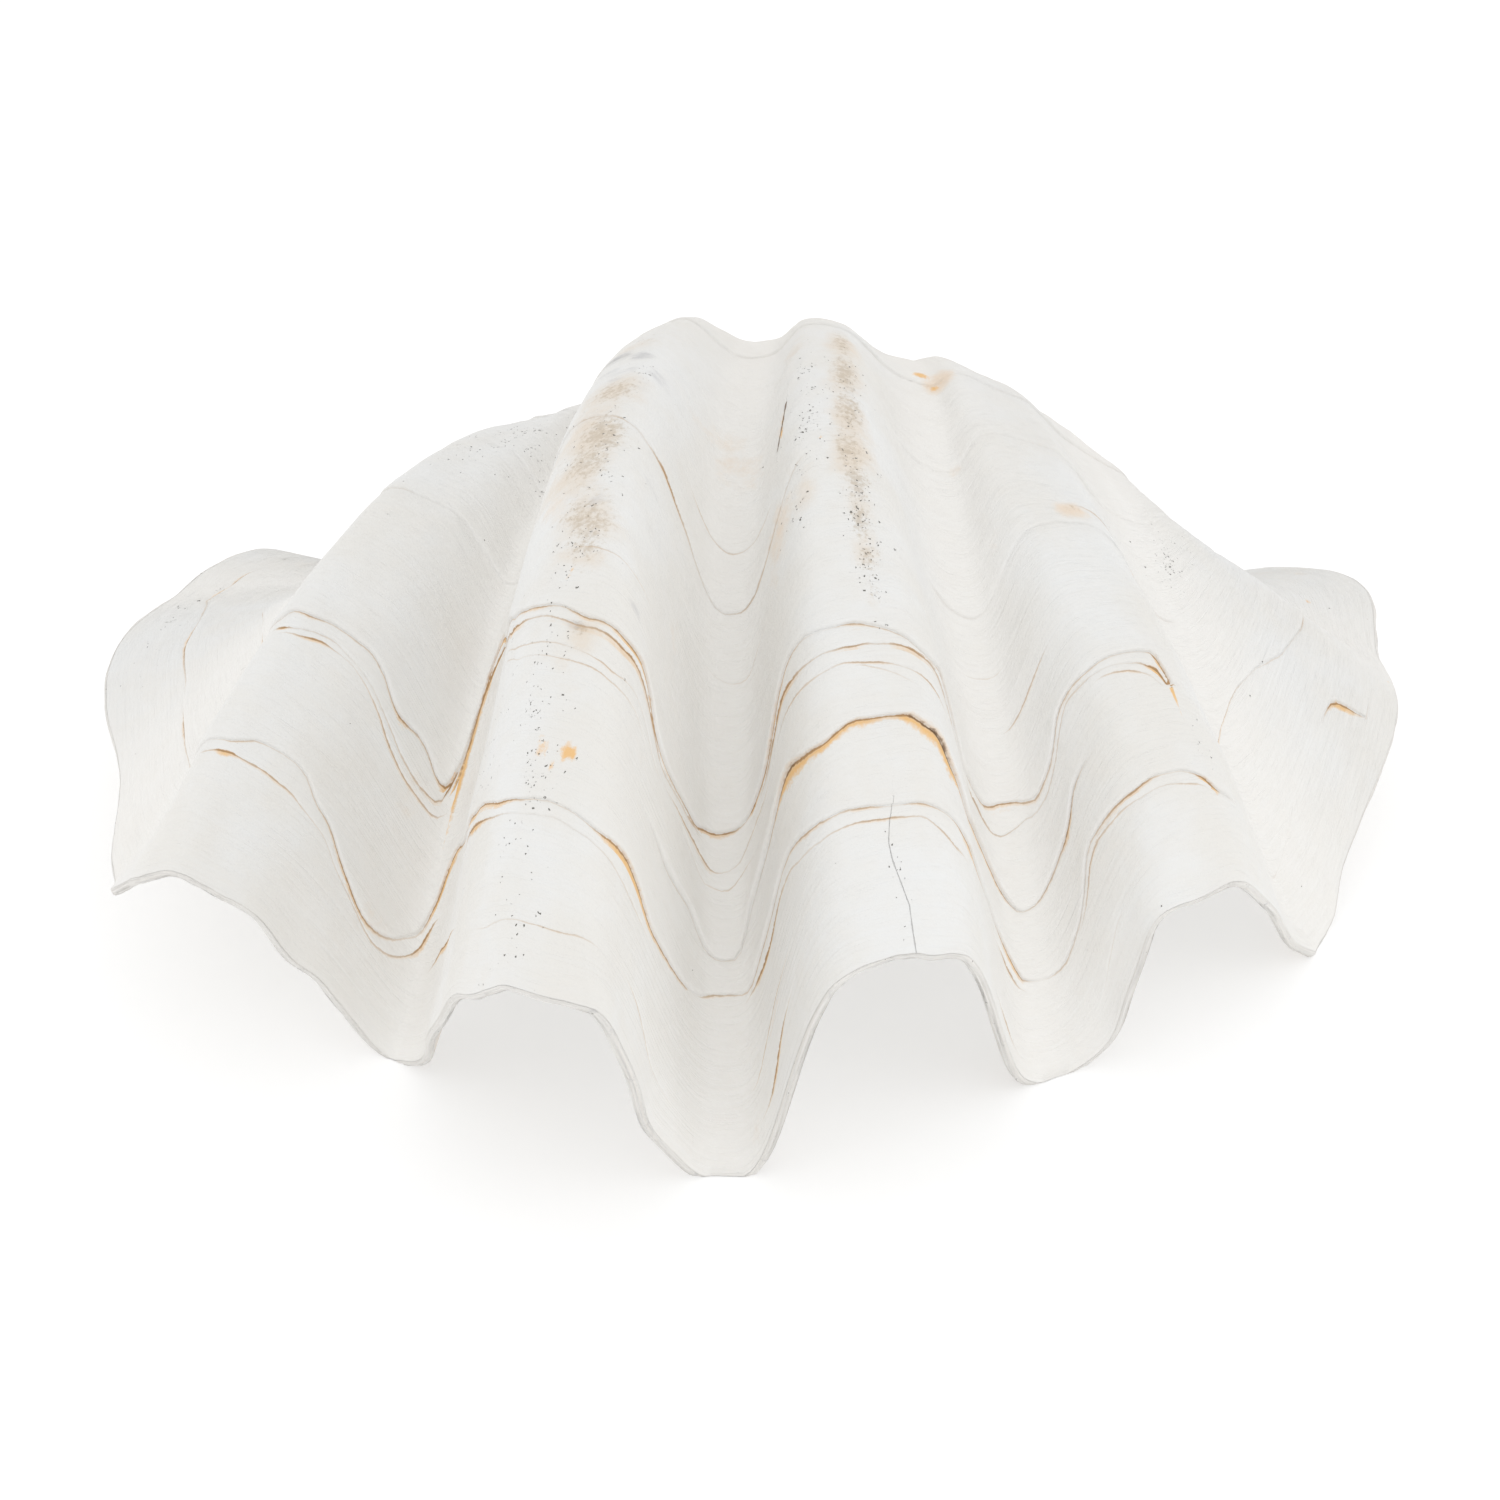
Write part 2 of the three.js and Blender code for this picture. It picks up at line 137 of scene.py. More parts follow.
# Chance curves along the margin: share, seed and waves per place of each layer. The growth
# lines and the lip's rings add their own number to the seed.
WEAR_WAVES = ((0.6, 11, 5), (0.4, 12, 16))
WOBBLE_WAVES = ((0.65, 20, 4), (0.35, 60, 13))
INK_WAVES = ((0.45, 100, 6),)
LIP_WAVES = ((0.25, 200, 12),)
LIP_SEEDS = 10

# Chance fields over a face: share of the swell, seed, patches per place and per radian
OUTER_SWELLS = ((1.0, 3, 2.5, 9), (0.5, 4, 7, 30))
INNER_SWELLS = ((0.4, 5, 2, 7),)

# Where the youngest shell strays from the growth law: place, half width in places, then how
# far the margin lies to the right and up, in metres. It fades out over DRIFT_AGE.
MARGIN_DRIFT = (
    (4.25, 0.15, -0.005, 0.0), (4.72, 0.22, 0.0, -0.005), (5.58, 0.09, 0.0, -0.008),
    (6.08, 0.10, -0.002, 0.003), (6.36, 0.08, -0.003, 0.0), (6.76, 0.13, 0.0, -0.008),
    (7.40, 0.14, 0.006, 0.005), (7.68, 0.06, -0.004, 0.0), (9.20, 0.17, 0.0, -0.006),
    (9.90, 0.08, 0.0, 0.002), (10.27, 0.10, 0.008, -0.001), (10.42, 0.08, 0.004, 0.0),
    (10.85, 0.20, 0.0, -0.006), (11.35, 0.18, 0.0, -0.006), (11.90, 0.15, 0.004, 0.004),
    (12.25, 0.15, 0.004, 0.0),
)
DRIFT_AGE = 0.06

# Inner face, wall and rim
INNER_POLE = np.array([0.008, 0.055, 0.014])
INNER_END_AGE = 2.15
INNER_CURL = {"from": 1.5, "rate": 5.0}
INNER_SHRINK_EASE = 0.005
INNER_RIB_AGE = 0.62
WALL_GAIN = {"by": 0.006, "over": 0.16}
RIM_BULGE = 0.42
GROUND_WEAR = 0.003
LIP_TURN = {"from": 0.44, "by": 0.5}

# Hinge plate, its rounded back and its teeth
PLATE_Z = 0.010
PLATE_INSET = 0.004
PLATE_ENDS = {"from": 0.45, "over": 0.5}
PLATE_END_DROP = 0.35
PLATE_BACK = (-0.75, -0.4)
CORNER_PLACES = 0.5
BYSSAL_GAPE = {"share": -0.3, "width": 0.09, "height": 0.005}
TEETH = (
    {"at": (0.016, 0.068, 0.007), "half": (0.017, 0.007, 0.009), "yaw": 0.35},
    {"at": (0.092, 0.079, 0.007), "half": (0.046, 0.006, 0.008), "yaw": 0.2},
)
LIGAMENT = {"from": 0.012, "rises_over": 0.012, "to": 0.135, "falls_over": 0.03,
            "behind": 0.006, "width": 0.0035, "depth": 0.0022}


class Ledge(NamedTuple):
    """One growth line, where the older layer ends and stands over the younger one."""
    path: tuple
    spans: tuple
    step: float = 0.0005
    fade: float = 0.05
    ink: float = 0.4
    accents: tuple = ()


# path: place, age along the line. spans: stretches of places where it shows. step: how far
# the older layer stands proud. fade: age over which it thins out. ink: ochre in its
# crevice. accents: place, half width, more ink.
LEDGES = (
    Ledge(((0, 0.04), (6.3, 0.07), (6.8, 0.055), (7.4, 0.066), (7.54, 0.077), (7.59, 0.07),
           (7.63, 0.05), (8.1, 0.035), (8.28, 0.04), (8.33, 0.072), (8.45, 0.08), (9.0, 0.05),
           (9.78, 0.037), (10.3, 0.045), (10.42, 0.07), (10.6, 0.06), (12, 0.05)),
          ((6.75, 7.4), (7.53, 7.72), (8.24, 8.38), (9.62, 9.8), (10.32, 10.45)), ink=0.26,
          accents=((7.6, 0.06, 0.3), (8.3, 0.05, 0.4), (9.71, 0.06, 0.3))),
    Ledge(((0, 0.05), (5.8, 0.085), (6.2, 0.147), (6.52, 0.08), (7.5, 0.09), (8.2, 0.085),
           (8.3, 0.12), (8.42, 0.12), (9, 0.09), (16, 0.06)),
          ((6.12, 6.5), (8.18, 8.36)), step=0.0003, ink=0.35, accents=((6.3, 0.12, 0.35),)),
    Ledge(((0, 0.09), (4.0, 0.155), (4.8, 0.152), (5.15, 0.16), (5.37, 0.158), (5.59, 0.145),
           (5.65, 0.127), (5.8, 0.105), (5.86, 0.114), (6.0, 0.16), (6.07, 0.2), (6.25, 0.215),
           (6.42, 0.21), (6.54, 0.178), (6.63, 0.163), (6.75, 0.153), (6.95, 0.15), (7.13, 0.155),
           (7.28, 0.15), (7.45, 0.15), (7.6, 0.145), (8.18, 0.19), (8.28, 0.19), (8.33, 0.207),
           (8.39, 0.195), (8.43, 0.177), (8.48, 0.163), (8.55, 0.151), (9.18, 0.14), (9.38, 0.12),
           (9.55, 0.13), (9.75, 0.155), (9.9, 0.132), (10.2, 0.126), (10.28, 0.132),
           (10.34, 0.145), (10.37, 0.177), (10.42, 0.178), (10.48, 0.166), (10.65, 0.152),
           (10.8, 0.155), (11.05, 0.142), (11.2, 0.12), (12, 0.1)),
          ((4.7, 6.1), (6.35, 7.6), (8.15, 9.45), (9.74, 9.92), (10.28, 11.08)), step=0.0006,
          ink=0.32,
          accents=((6.56, 0.09, 0.6), (6.75, 0.1, 0.15), (6.03, 0.06, 0.25), (8.25, 0.06, 0.3),
                   (5.75, 0.15, 0.25), (4.95, 0.07, 0.7), (9.82, 0.06, 0.3), (7.1, 0.3, -0.1),
                   (10.36, 0.06, 0.3))),
    Ledge(((0, 0.02), (1.5, 0.06), (2.24, 0.112), (2.52, 0.161), (2.75, 0.188), (2.9, 0.196),
           (3.1, 0.191), (3.35, 0.196), (3.5, 0.19), (3.8, 0.192), (4.83, 0.169), (4.97, 0.173),
           (5.1, 0.19), (5.34, 0.194), (5.44, 0.188), (5.51, 0.17), (5.59, 0.164), (5.67, 0.137),
           (5.75, 0.118), (5.8, 0.12), (5.86, 0.136), (5.92, 0.163), (5.98, 0.18), (6.03, 0.214),
           (6.07, 0.235), (6.1, 0.285), (6.15, 0.3), (6.3, 0.265), (6.56, 0.19), (6.78, 0.165),
           (6.95, 0.165), (7.09, 0.17), (7.38, 0.161), (7.51, 0.173), (7.56, 0.17), (7.61, 0.158),
           (7.9, 0.199), (8.02, 0.203), (8.16, 0.196), (8.19, 0.2), (8.23, 0.212), (8.35, 0.225),
           (8.39, 0.217), (8.46, 0.191), (8.51, 0.18), (8.6, 0.169), (9.29, 0.152), (9.45, 0.152),
           (9.58, 0.167), (9.7, 0.193), (9.85, 0.168), (9.92, 0.147), (10.22, 0.136),
           (10.31, 0.147), (10.34, 0.165), (10.37, 0.197), (10.53, 0.176), (10.62, 0.17),
           (10.73, 0.173), (10.95, 0.17), (11.08, 0.154), (11.17, 0.134), (11.3, 0.13),
           (11.6, 0.14), (11.93, 0.163), (12.29, 0.218), (12.6, 0.235), (12.8, 0.23),
           (12.87, 0.218), (12.92, 0.165), (13.0, 0.07), (13.06, 0.03), (16, 0.02)),
          ((1.7, 11.3), (11.9, 12.3), (12.75, 13.06)), step=0.0014, fade=0.1, ink=0.42,
          accents=((6.08, 0.07, 1.0), (6.4, 0.2, 0.3), (6.68, 0.12, 0.25), (7.5, 0.14, 0.45),
                   (7.81, 0.025, -1.2), (8.0, 0.12, 0.1), (8.28, 0.1, 0.6), (9.52, 0.1, 0.2),
                   (9.83, 0.08, 0.9), (10.05, 0.1, -0.35), (11.1, 0.05, 0.8),
                   (11.22, 0.04, -0.5), (5.75, 0.12, 0.3), (12.89, 0.05, 0.9),
                   (12.1, 0.3, -0.3), (5.3, 0.3, -0.1), (8.9, 0.4, -0.08))),
    Ledge(((0, 0.2), (7.6, 0.25), (7.66, 0.247), (7.76, 0.267), (7.85, 0.246), (7.95, 0.24),
           (8.09, 0.241), (8.13, 0.255), (8.18, 0.285), (8.25, 0.3), (8.37, 0.311), (8.41, 0.303),
           (8.48, 0.273), (8.55, 0.26), (8.61, 0.254), (8.8, 0.265), (9.16, 0.263), (9.24, 0.252),
           (9.34, 0.25), (9.4, 0.228), (9.48, 0.222), (9.52, 0.205), (9.71, 0.271), (9.79, 0.276),
           (9.98, 0.239), (10.1, 0.241), (10.33, 0.26), (10.37, 0.287), (10.5, 0.28), (16, 0.2)),
          ((7.6, 10.42),), step=0.0022, fade=0.07, ink=0.5,
          accents=((7.9, 0.3, -0.3), (8.41, 0.06, 0.9), (8.6, 0.15, 0.35), (8.95, 0.18, 0.25),
                   (9.16, 0.05, 0.5), (9.33, 0.12, 1.3), (9.4, 0.06, 0.6), (9.52, 0.12, 0.7),
                   (9.98, 0.12, -0.2), (10.32, 0.03, 0.5))),
    Ledge(((0, 0.28), (5.8, 0.31), (6.57, 0.366), (6.75, 0.327), (6.91, 0.32), (7.38, 0.315),
           (7.5, 0.327), (7.6, 0.3), (7.71, 0.335), (7.84, 0.314), (7.9, 0.318), (8.0, 0.316),
           (8.06, 0.322), (8.14, 0.337), (8.4, 0.33), (8.88, 0.335), (9.4, 0.29), (9.59, 0.28),
           (9.9, 0.32), (16, 0.26)),
          ((6.6, 7.55), (7.7, 8.2), (8.86, 9.2)), step=0.0004, ink=0.26),
    Ledge(((0, 0.3), (4.8, 0.341), (4.97, 0.348), (5.19, 0.363), (5.42, 0.363), (5.54, 0.356),
           (5.62, 0.345), (5.69, 0.327), (5.77, 0.318), (5.92, 0.33), (6.0, 0.36), (6.15, 0.45),
           (6.5, 0.41), (6.58, 0.379), (6.71, 0.348), (6.81, 0.338), (7.38, 0.327), (7.49, 0.343),
           (7.54, 0.338), (7.59, 0.314), (7.69, 0.34), (7.78, 0.345), (7.9, 0.338), (8.0, 0.34),
           (8.1, 0.348), (8.18, 0.365), (8.24, 0.369), (8.29, 0.362), (8.39, 0.381),
           (8.46, 0.361), (8.54, 0.345), (8.63, 0.338), (8.77, 0.34), (9.2, 0.325), (9.43, 0.321),
           (9.59, 0.29), (9.8, 0.32), (10.3, 0.33), (10.5, 0.355), (10.61, 0.356), (10.83, 0.348),
           (10.93, 0.34), (10.98, 0.332), (11.04, 0.309), (11.12, 0.23), (16, 0.28)),
          ((4.85, 5.95), (6.6, 7.6), (7.65, 8.32), (8.36, 9.45), (10.6, 11.05)), step=0.0005,
          ink=0.32, accents=((5.05, 0.15, 0.2), (8.0, 0.2, 0.12), (7.0, 0.25, -0.1))),
    Ledge(((0, 0.32), (4, 0.34), (4.95, 0.355), (5.1, 0.369), (5.25, 0.374), (5.55, 0.366),
           (5.75, 0.338), (5.82, 0.338), (5.92, 0.355), (6.0, 0.42), (6.05, 0.54), (6.1, 0.6),
           (6.18, 0.618), (6.35, 0.52), (6.58, 0.409), (6.7, 0.382), (6.81, 0.371), (7.12, 0.361),
           (7.41, 0.365), (7.49, 0.376), (7.54, 0.366), (7.61, 0.331), (7.7, 0.354),
           (7.78, 0.363), (8.2, 0.385), (8.3, 0.38), (8.37, 0.414), (8.4, 0.412), (8.45, 0.392),
           (8.5, 0.379), (8.57, 0.368), (8.72, 0.363), (8.95, 0.363), (9.28, 0.354),
           (9.43, 0.366), (9.49, 0.36), (9.59, 0.298), (9.63, 0.303), (9.72, 0.337),
           (9.84, 0.338), (10.13, 0.357), (10.2, 0.345), (10.28, 0.339), (10.33, 0.352),
           (10.4, 0.384), (10.44, 0.384), (10.5, 0.374), (10.64, 0.366), (10.93, 0.36),
           (11.04, 0.341), (11.07, 0.314), (11.12, 0.24), (16, 0.3)),
          ((4.75, 5.95), (6.02, 7.8), (8.25, 9.55), (9.62, 11.1)), step=0.0008, ink=0.4,
          accents=((4.85, 0.05, 0.4), (6.1, 0.1, 0.3), (6.5, 0.15, 0.45), (7.45, 0.12, 0.4),
                   (7.0, 0.3, 0.14), (8.4, 0.08, 0.35), (5.3, 0.35, -0.1), (9.9, 0.3, -0.12),
                   (10.7, 0.3, -0.15), (11.03, 0.05, 0.5), (9.3, 0.12, 0.15))),
    Ledge(((0, 0.36), (3.8, 0.4), (4.75, 0.378), (4.82, 0.39), (5.0, 0.388), (5.17, 0.399),
           (5.49, 0.404), (5.59, 0.396), (5.66, 0.379), (5.7, 0.377), (5.78, 0.394),
           (5.82, 0.395), (5.88, 0.379), (5.94, 0.388), (6.0, 0.43), (6.03, 0.5), (6.06, 0.6),
           (6.12, 0.66), (6.61, 0.419), (6.75, 0.393), (6.87, 0.385), (7.04, 0.381), (7.2, 0.371),
           (7.41, 0.377), (7.5, 0.388), (7.54, 0.376), (7.57, 0.352), (7.6, 0.341), (7.64, 0.344),
           (7.73, 0.363), (7.78, 0.366), (7.83, 0.38), (8.21, 0.397), (8.31, 0.39), (8.35, 0.42),
           (8.4, 0.436), (8.44, 0.436), (8.59, 0.406), (8.69, 0.398), (8.89, 0.395),
           (9.21, 0.371), (9.27, 0.362), (9.35, 0.364), (9.41, 0.371), (9.47, 0.394),
           (9.5, 0.398), (9.56, 0.325), (9.59, 0.308), (9.66, 0.339), (9.73, 0.36), (9.9, 0.388),
           (9.98, 0.394), (10.09, 0.39), (10.16, 0.379), (10.22, 0.362), (10.3, 0.362),
           (10.34, 0.372), (10.37, 0.395), (10.43, 0.395), (10.56, 0.382), (10.95, 0.385),
           (11.04, 0.382), (11.08, 0.368), (11.1, 0.33), (11.11, 0.29), (11.14, 0.245),
           (11.3, 0.23), (11.5, 0.29), (11.75, 0.39), (11.98, 0.461), (12.2, 0.492),
           (12.35, 0.502), (12.55, 0.481), (12.77, 0.42), (13.1, 0.38), (16, 0.34)),
          ((2.2, 11.15), (11.75, 14.0)), step=0.0016, fade=0.13, ink=0.46,
          accents=((5.97, 0.05, 0.6), (6.1, 0.12, 0.15), (6.4, 0.25, 0.3), (7.48, 0.12, 0.5),
                   (7.0, 0.3, 0.14), (7.65, 0.08, 0.3), (8.21, 0.03, 0.7), (8.33, 0.05, 0.5),
                   (8.62, 0.16, -0.25), (9.0, 0.15, -0.12), (9.5, 0.06, 0.5),
                   (10.0, 0.08, 0.1), (10.4, 0.15, 0.05), (10.8, 0.2, -0.15),
                   (11.09, 0.05, 1.3), (5.6, 0.2, 0.2), (5.7, 0.03, 0.4), (5.2, 0.25, -0.1),
                   (12.6, 0.9, -0.2), (3.0, 0.8, -0.2), (9.6, 0.05, -0.3), (9.66, 0.03, 0.6))),
    Ledge(((0, 0.45), (6, 0.52), (7.1, 0.47), (9, 0.5), (16, 0.45)),
          ((7.0, 7.5), (10.1, 10.4)), step=0.0004, ink=0.3),
    Ledge(((0, 0.5), (7.78, 0.605), (7.88, 0.59), (8.02, 0.58), (8.18, 0.581), (8.26, 0.6),
           (16, 0.52)),
          ((7.75, 8.3), (9.8, 10.2)), step=0.0003, ink=0.16),
    Ledge(((0, 0.62), (5, 0.73), (6.0, 0.77), (6.95, 0.752), (7.37, 0.73), (7.5, 0.742),
           (7.65, 0.74), (7.87, 0.695), (7.96, 0.686), (8.12, 0.688), (8.24, 0.696),
           (8.32, 0.715), (8.55, 0.75), (9, 0.74), (10, 0.69), (11, 0.72), (16, 0.66)),
          ((4.6, 8.6), (9.7, 12.0)), step=0.0009, fade=0.14, ink=0.24,
          accents=((7.5, 0.12, 0.35), (8.0, 0.3, 0.08), (10.9, 1.2, -0.2), (5.6, 0.8, -0.2))),
    Ledge(((0, 0.72), (7.6, 0.84), (7.8, 0.81), (8.0, 0.79), (8.3, 0.795), (16, 0.75)),
          ((7.65, 8.35), (10.9, 11.4)), step=0.0005, ink=0.26),
    Ledge(((0, 0.9), (5, 1.0), (8, 1.02), (12, 1.02), (16, 0.95)),
          ((5.0, 7.0), (9.6, 12.4)), step=0.0007, fade=0.16, ink=0.04),
    Ledge(((0, 1.2), (8, 1.38), (16, 1.25)), ((2.0, 14.0),), step=0.0012, fade=0.16, ink=0.08),
    Ledge(((0, 1.6), (8, 1.78), (16, 1.6)), ((3.0, 13.0),), step=0.001, fade=0.2, ink=0.1),
)

# Every ledge: places over which a span eases in, growth of the steps against the size of
# the growth line, wobble of the lines and the least gap between them in radians, and the
# share that has to show before a crevice counts
LEDGE_BLEND = 0.07
LEDGE_GROWTH = 1.6
LEDGE_WOBBLE = 0.0020
LEDGE_CLEARANCE = 0.0035
LEDGE_SHOWS = 0.02

# Corners of the paths: rounding in places, samples per place, and samples each way that
# the rounding reaches
PATH_ROUNDING = 0.02
PATH_SAMPLES = 100
PATH_WINDOW = 6

# From which step on a ledge gets the finer section and its crevice, the level that chance
# breaks the ink up around and the most there is of it, and the least metres per radian
STRONG_STEP = 0.0012
INK_LEVEL = 0.8
MOST_INK = 2
LEAST_RATE = 1e-3

# Section across a ledge: distance past the line, height in steps, and slip back over the
# younger layer in steps, which leaves a crevice under the lip
LEDGE_PAST = (-0.0012, 0.0, 0.0002, 0.0006, 0.0014, 0.0032)
LEDGE_RISE = (0.0, -0.12, 0.35, 0.8, 1.0, 1.0)
LEDGE_SLIP = (0.0, 0.0, 0.1, 0.16, 0.08, 0.0)
STRONG_ROWS = (-0.0026, -0.0007, 0.0, 0.0002, 0.0006, 0.0014, 0.0032)
CREVICE = 0.0007
FINE_ROWS = (-0.0010, 0.0, 0.0005, 0.0014)

# Stains and spots of the outer face, by kind: place, age, half width, half age, strength
BLOTCHES = {
    "beige": (
        (7.00, 0.83, 0.36, 0.09, 1.0), (6.93, 0.69, 0.36, 0.10, 1.1),
        (6.88, 0.60, 0.34, 0.06, 1.1), (7.08, 0.52, 0.30, 0.06, 1.1),
        (7.10, 0.455, 0.26, 0.035, 0.9), (7.18, 0.35, 0.14, 0.025, 0.9),
        (6.95, 1.06, 0.34, 0.06, 0.8), (7.05, 0.30, 0.30, 0.05, 0.5),
        (9.05, 1.20, 0.26, 0.14, 1.1), (9.04, 1.00, 0.26, 0.14, 1.1),
        (9.04, 0.85, 0.26, 0.10, 1.1), (9.02, 0.73, 0.24, 0.09, 1.1),
        (9.02, 0.62, 0.20, 0.08, 1.0), (9.00, 0.51, 0.16, 0.06, 0.9),
        (8.60, 0.66, 0.16, 0.09, 0.9), (9.0, 0.43, 0.12, 0.03, 0.8),
        (8.52, 1.20, 0.20, 0.10, 0.7),
    ),
    "blush": (
        (8.44, 0.94, 0.06, 0.07, 0.7), (6.79, 0.545, 0.16, 0.035, 0.8),
        (7.2, 0.46, 0.25, 0.05, 0.35), (7.85, 1.00, 0.30, 0.10, 0.75),
        (8.10, 0.95, 0.25, 0.06, 0.7), (8.42, 0.68, 0.12, 0.10, 0.9),
        (7.64, 0.545, 0.07, 0.05, 0.6), (10.12, 1.34, 0.22, 0.06, 1.3),
        (10.27, 0.76, 0.10, 0.05, 0.6), (10.13, 1.02, 0.10, 0.04, 0.5),
        (10.96, 0.76, 0.18, 0.03, 1.5), (10.98, 1.015, 0.18, 0.03, 0.55),
        (5.80, 0.32, 0.12, 0.06, 0.5), (5.78, 0.13, 0.14, 0.04, 0.5),
        (8.19, 0.05, 0.05, 0.04, 0.8), (1.2, 0.20, 0.5, 0.10, 0.5), (15.0, 0.10, 0.6, 0.06, 0.5),
        (14.2, 0.02, 0.5, 0.05, 0.4), (8.85, 0.22, 0.25, 0.025, 0.35),
    ),
    "tan": (
        (7.03, 0.83, 0.26, 0.06, 0.95), (7.05, 0.70, 0.26, 0.07, 1.05),
        (6.98, 0.63, 0.26, 0.05, 1.0), (7.08, 0.525, 0.25, 0.045, 1.05),
        (7.10, 0.465, 0.2, 0.025, 0.9), (7.16, 0.435, 0.14, 0.012, 0.9),
        (7.15, 0.358, 0.08, 0.012, 1.0), (7.02, 1.08, 0.30, 0.06, 0.6),
        (10.97, 0.77, 0.12, 0.02, 0.75), (9.05, 1.20, 0.17, 0.12, 0.9),
        (9.04, 1.02, 0.18, 0.12, 1.0), (9.05, 0.87, 0.19, 0.09, 1.0),
        (9.00, 0.75, 0.17, 0.07, 0.95), (9.02, 0.665, 0.16, 0.06, 1.0),
        (9.01, 0.58, 0.12, 0.05, 1.0), (9.01, 0.505, 0.11, 0.045, 0.95),
        (9.02, 0.435, 0.08, 0.02, 0.9),
    ),
    "grey": (
        (6.62, 1.00, 0.12, 0.05, 0.5), (6.85, 1.01, 0.20, 0.03, 0.95),
        (7.10, 0.985, 0.16, 0.03, 1.0), (7.32, 0.93, 0.14, 0.03, 0.8),
        (6.85, 0.93, 0.18, 0.02, 0.8), (7.08, 0.92, 0.12, 0.02, 0.7),
        (7.25, 0.86, 0.10, 0.03, 0.6), (7.44, 0.425, 0.05, 0.014, 0.9),
        (7.50, 0.60, 0.10, 0.03, 0.5), (7.45, 0.66, 0.10, 0.05, 0.45),
        (7.14, 0.36, 0.14, 0.01, 0.7), (7.12, 0.55, 0.12, 0.02, 0.75),
        (7.48, 0.27, 0.05, 0.015, 0.5), (6.95, 0.88, 0.15, 0.05, 0.6),
        (9.08, 0.95, 0.10, 0.12, 0.45), (9.04, 0.64, 0.08, 0.06, 0.5),
        (2.08, 0.043, 0.10, 0.01, 0.6),
    ),
    "amber": (
        (9.98, 1.4, 0.12, 0.014, 1.1), (10.1, 1.33, 0.1, 0.014, 1.05),
        (12.17, 0.933, 0.06, 0.012, 0.8), (12.45, 0.884, 0.06, 0.012, 0.8),
        (8.44, 0.945, 0.025, 0.05, 0.8), (7.04, 0.427, 0.018, 0.005, 1.0),
        (7.02, 0.217, 0.055, 0.008, 0.95), (7.18, 0.218, 0.05, 0.009, 1.15),
        (7.085, 0.203, 0.032, 0.0065, 1.1), (8.44, 0.93, 0.02, 0.05, 0.9),
        (8.77, 0.78, 0.03, 0.008, 0.8), (8.63, 0.635, 0.035, 0.012, 0.5),
        (9.43, 0.853, 0.03, 0.008, 0.45), (10.45, 0.873, 0.035, 0.01, 0.7),
        (11.50, 0.72, 0.05, 0.008, 0.6), (12.87, 0.20, 0.04, 0.010, 0.7),
        (5.97, 0.405, 0.03, 0.006, 0.8), (10.11, 1.323, 0.04, 0.02, 0.6),
        (14.40, 0.205, 0.06, 0.006, 0.6), (13.56, 0.03, 0.06, 0.01, 0.6),
        (4.20, 0.197, 0.30, 0.003, 0.5), (4.83, 0.392, 0.05, 0.009, 0.45),
    ),
    "dark": (
        (2.42, 0.072, 0.03, 0.007, 0.8), (2.67, 0.101, 0.02, 0.006, 0.9),
        (3.86, 0.34, 0.02, 0.01, 0.7), (14.35, 0.026, 0.05, 0.007, 0.5),
    ),
}


class StainLayer(NamedTuple):
    """One kind of stain: its mark, the grain that breaks it up, how soft and strong it is, how
    much of the mark it covers, and whether the grain is drawn out along the growth."""
    mark: str
    grain: float
    softness: float
    strength: float
    cover: float = 1.0
    streaked: bool = False


# Stains, in the order in which they are laid on
STAIN_LAYERS = (
    StainLayer("beige", grain=32.0, softness=0.5, strength=0.85),
    StainLayer("blush", grain=45.0, softness=0.5, strength=0.9),
    StainLayer("tan", grain=360.0, softness=0.24, strength=0.56, cover=0.7),
    StainLayer("grey", grain=110.0, softness=0.6, strength=0.6, cover=1.15, streaked=True),
    StainLayer("amber", grain=150.0, softness=0.3, strength=0.8),
    StainLayer("dark", grain=300.0, softness=0.2, strength=0.75),
)
STREAKS = (0.6, 1.0, 1.0)

# A stain has the colour of its own name, apart from these
STAIN_COLOURS = {"dark": "speck"}

# Ages over which the tint of the oldest shell sets in, and how sharply the furrows' paler
# tone, painted light that offsets the shade falling in them, falls off up the ribs
OLD_TINT = {"from": 0.9, "over": 1.2}
FURROW_LIGHT_FALL = 1.3

# Where dark specks gather: place, age, half width, half age, share of specks kept
SPECK_FIELDS = (
    (5.2, 1.02, 0.35, 0.16, 0.55), (8.68, 0.93, 0.12, 0.16, 0.75), (8.55, 0.68, 0.12, 0.06, 0.4),
    (7.0, 0.24, 0.11, 0.16, 0.36), (6.95, 0.08, 0.14, 0.07, 0.14), (7.05, 0.45, 0.12, 0.05, 0.6),
    (7.2, 0.90, 0.14, 0.05, 0.6), (9.02, 0.55, 0.1, 0.09, 0.8), (9.05, 0.85, 0.16, 0.25, 0.45),
    (12.3, 0.88, 0.3, 0.08, 0.6), (8.98, 0.08, 0.05, 0.05, 0.3), (11.15, 0.2, 0.06, 0.03, 0.6),
    (6.6, 0.28, 0.12, 0.08, 0.25), (2.6, 0.09, 0.5, 0.03, 0.25), (7.05, 0.65, 0.2, 0.15, 0.5),
    (8.62, 0.88, 0.06, 0.04, 0.9), (8.6, 1.04, 0.05, 0.03, 0.8), (9.0, 0.6, 0.06, 0.12, 0.8),
    (6.92, 0.26, 0.05, 0.05, 0.9), (6.95, 0.335, 0.06, 0.02, 0.8), (7.02, 0.2, 0.12, 0.012, 0.7),
    (5.6, 1.08, 0.28, 0.09, 0.9), (8.66, 0.8, 0.06, 0.06, 1.0), (9.03, 0.47, 0.05, 0.05, 1.0),
    (12.4, 0.88, 0.2, 0.05, 0.5),
)

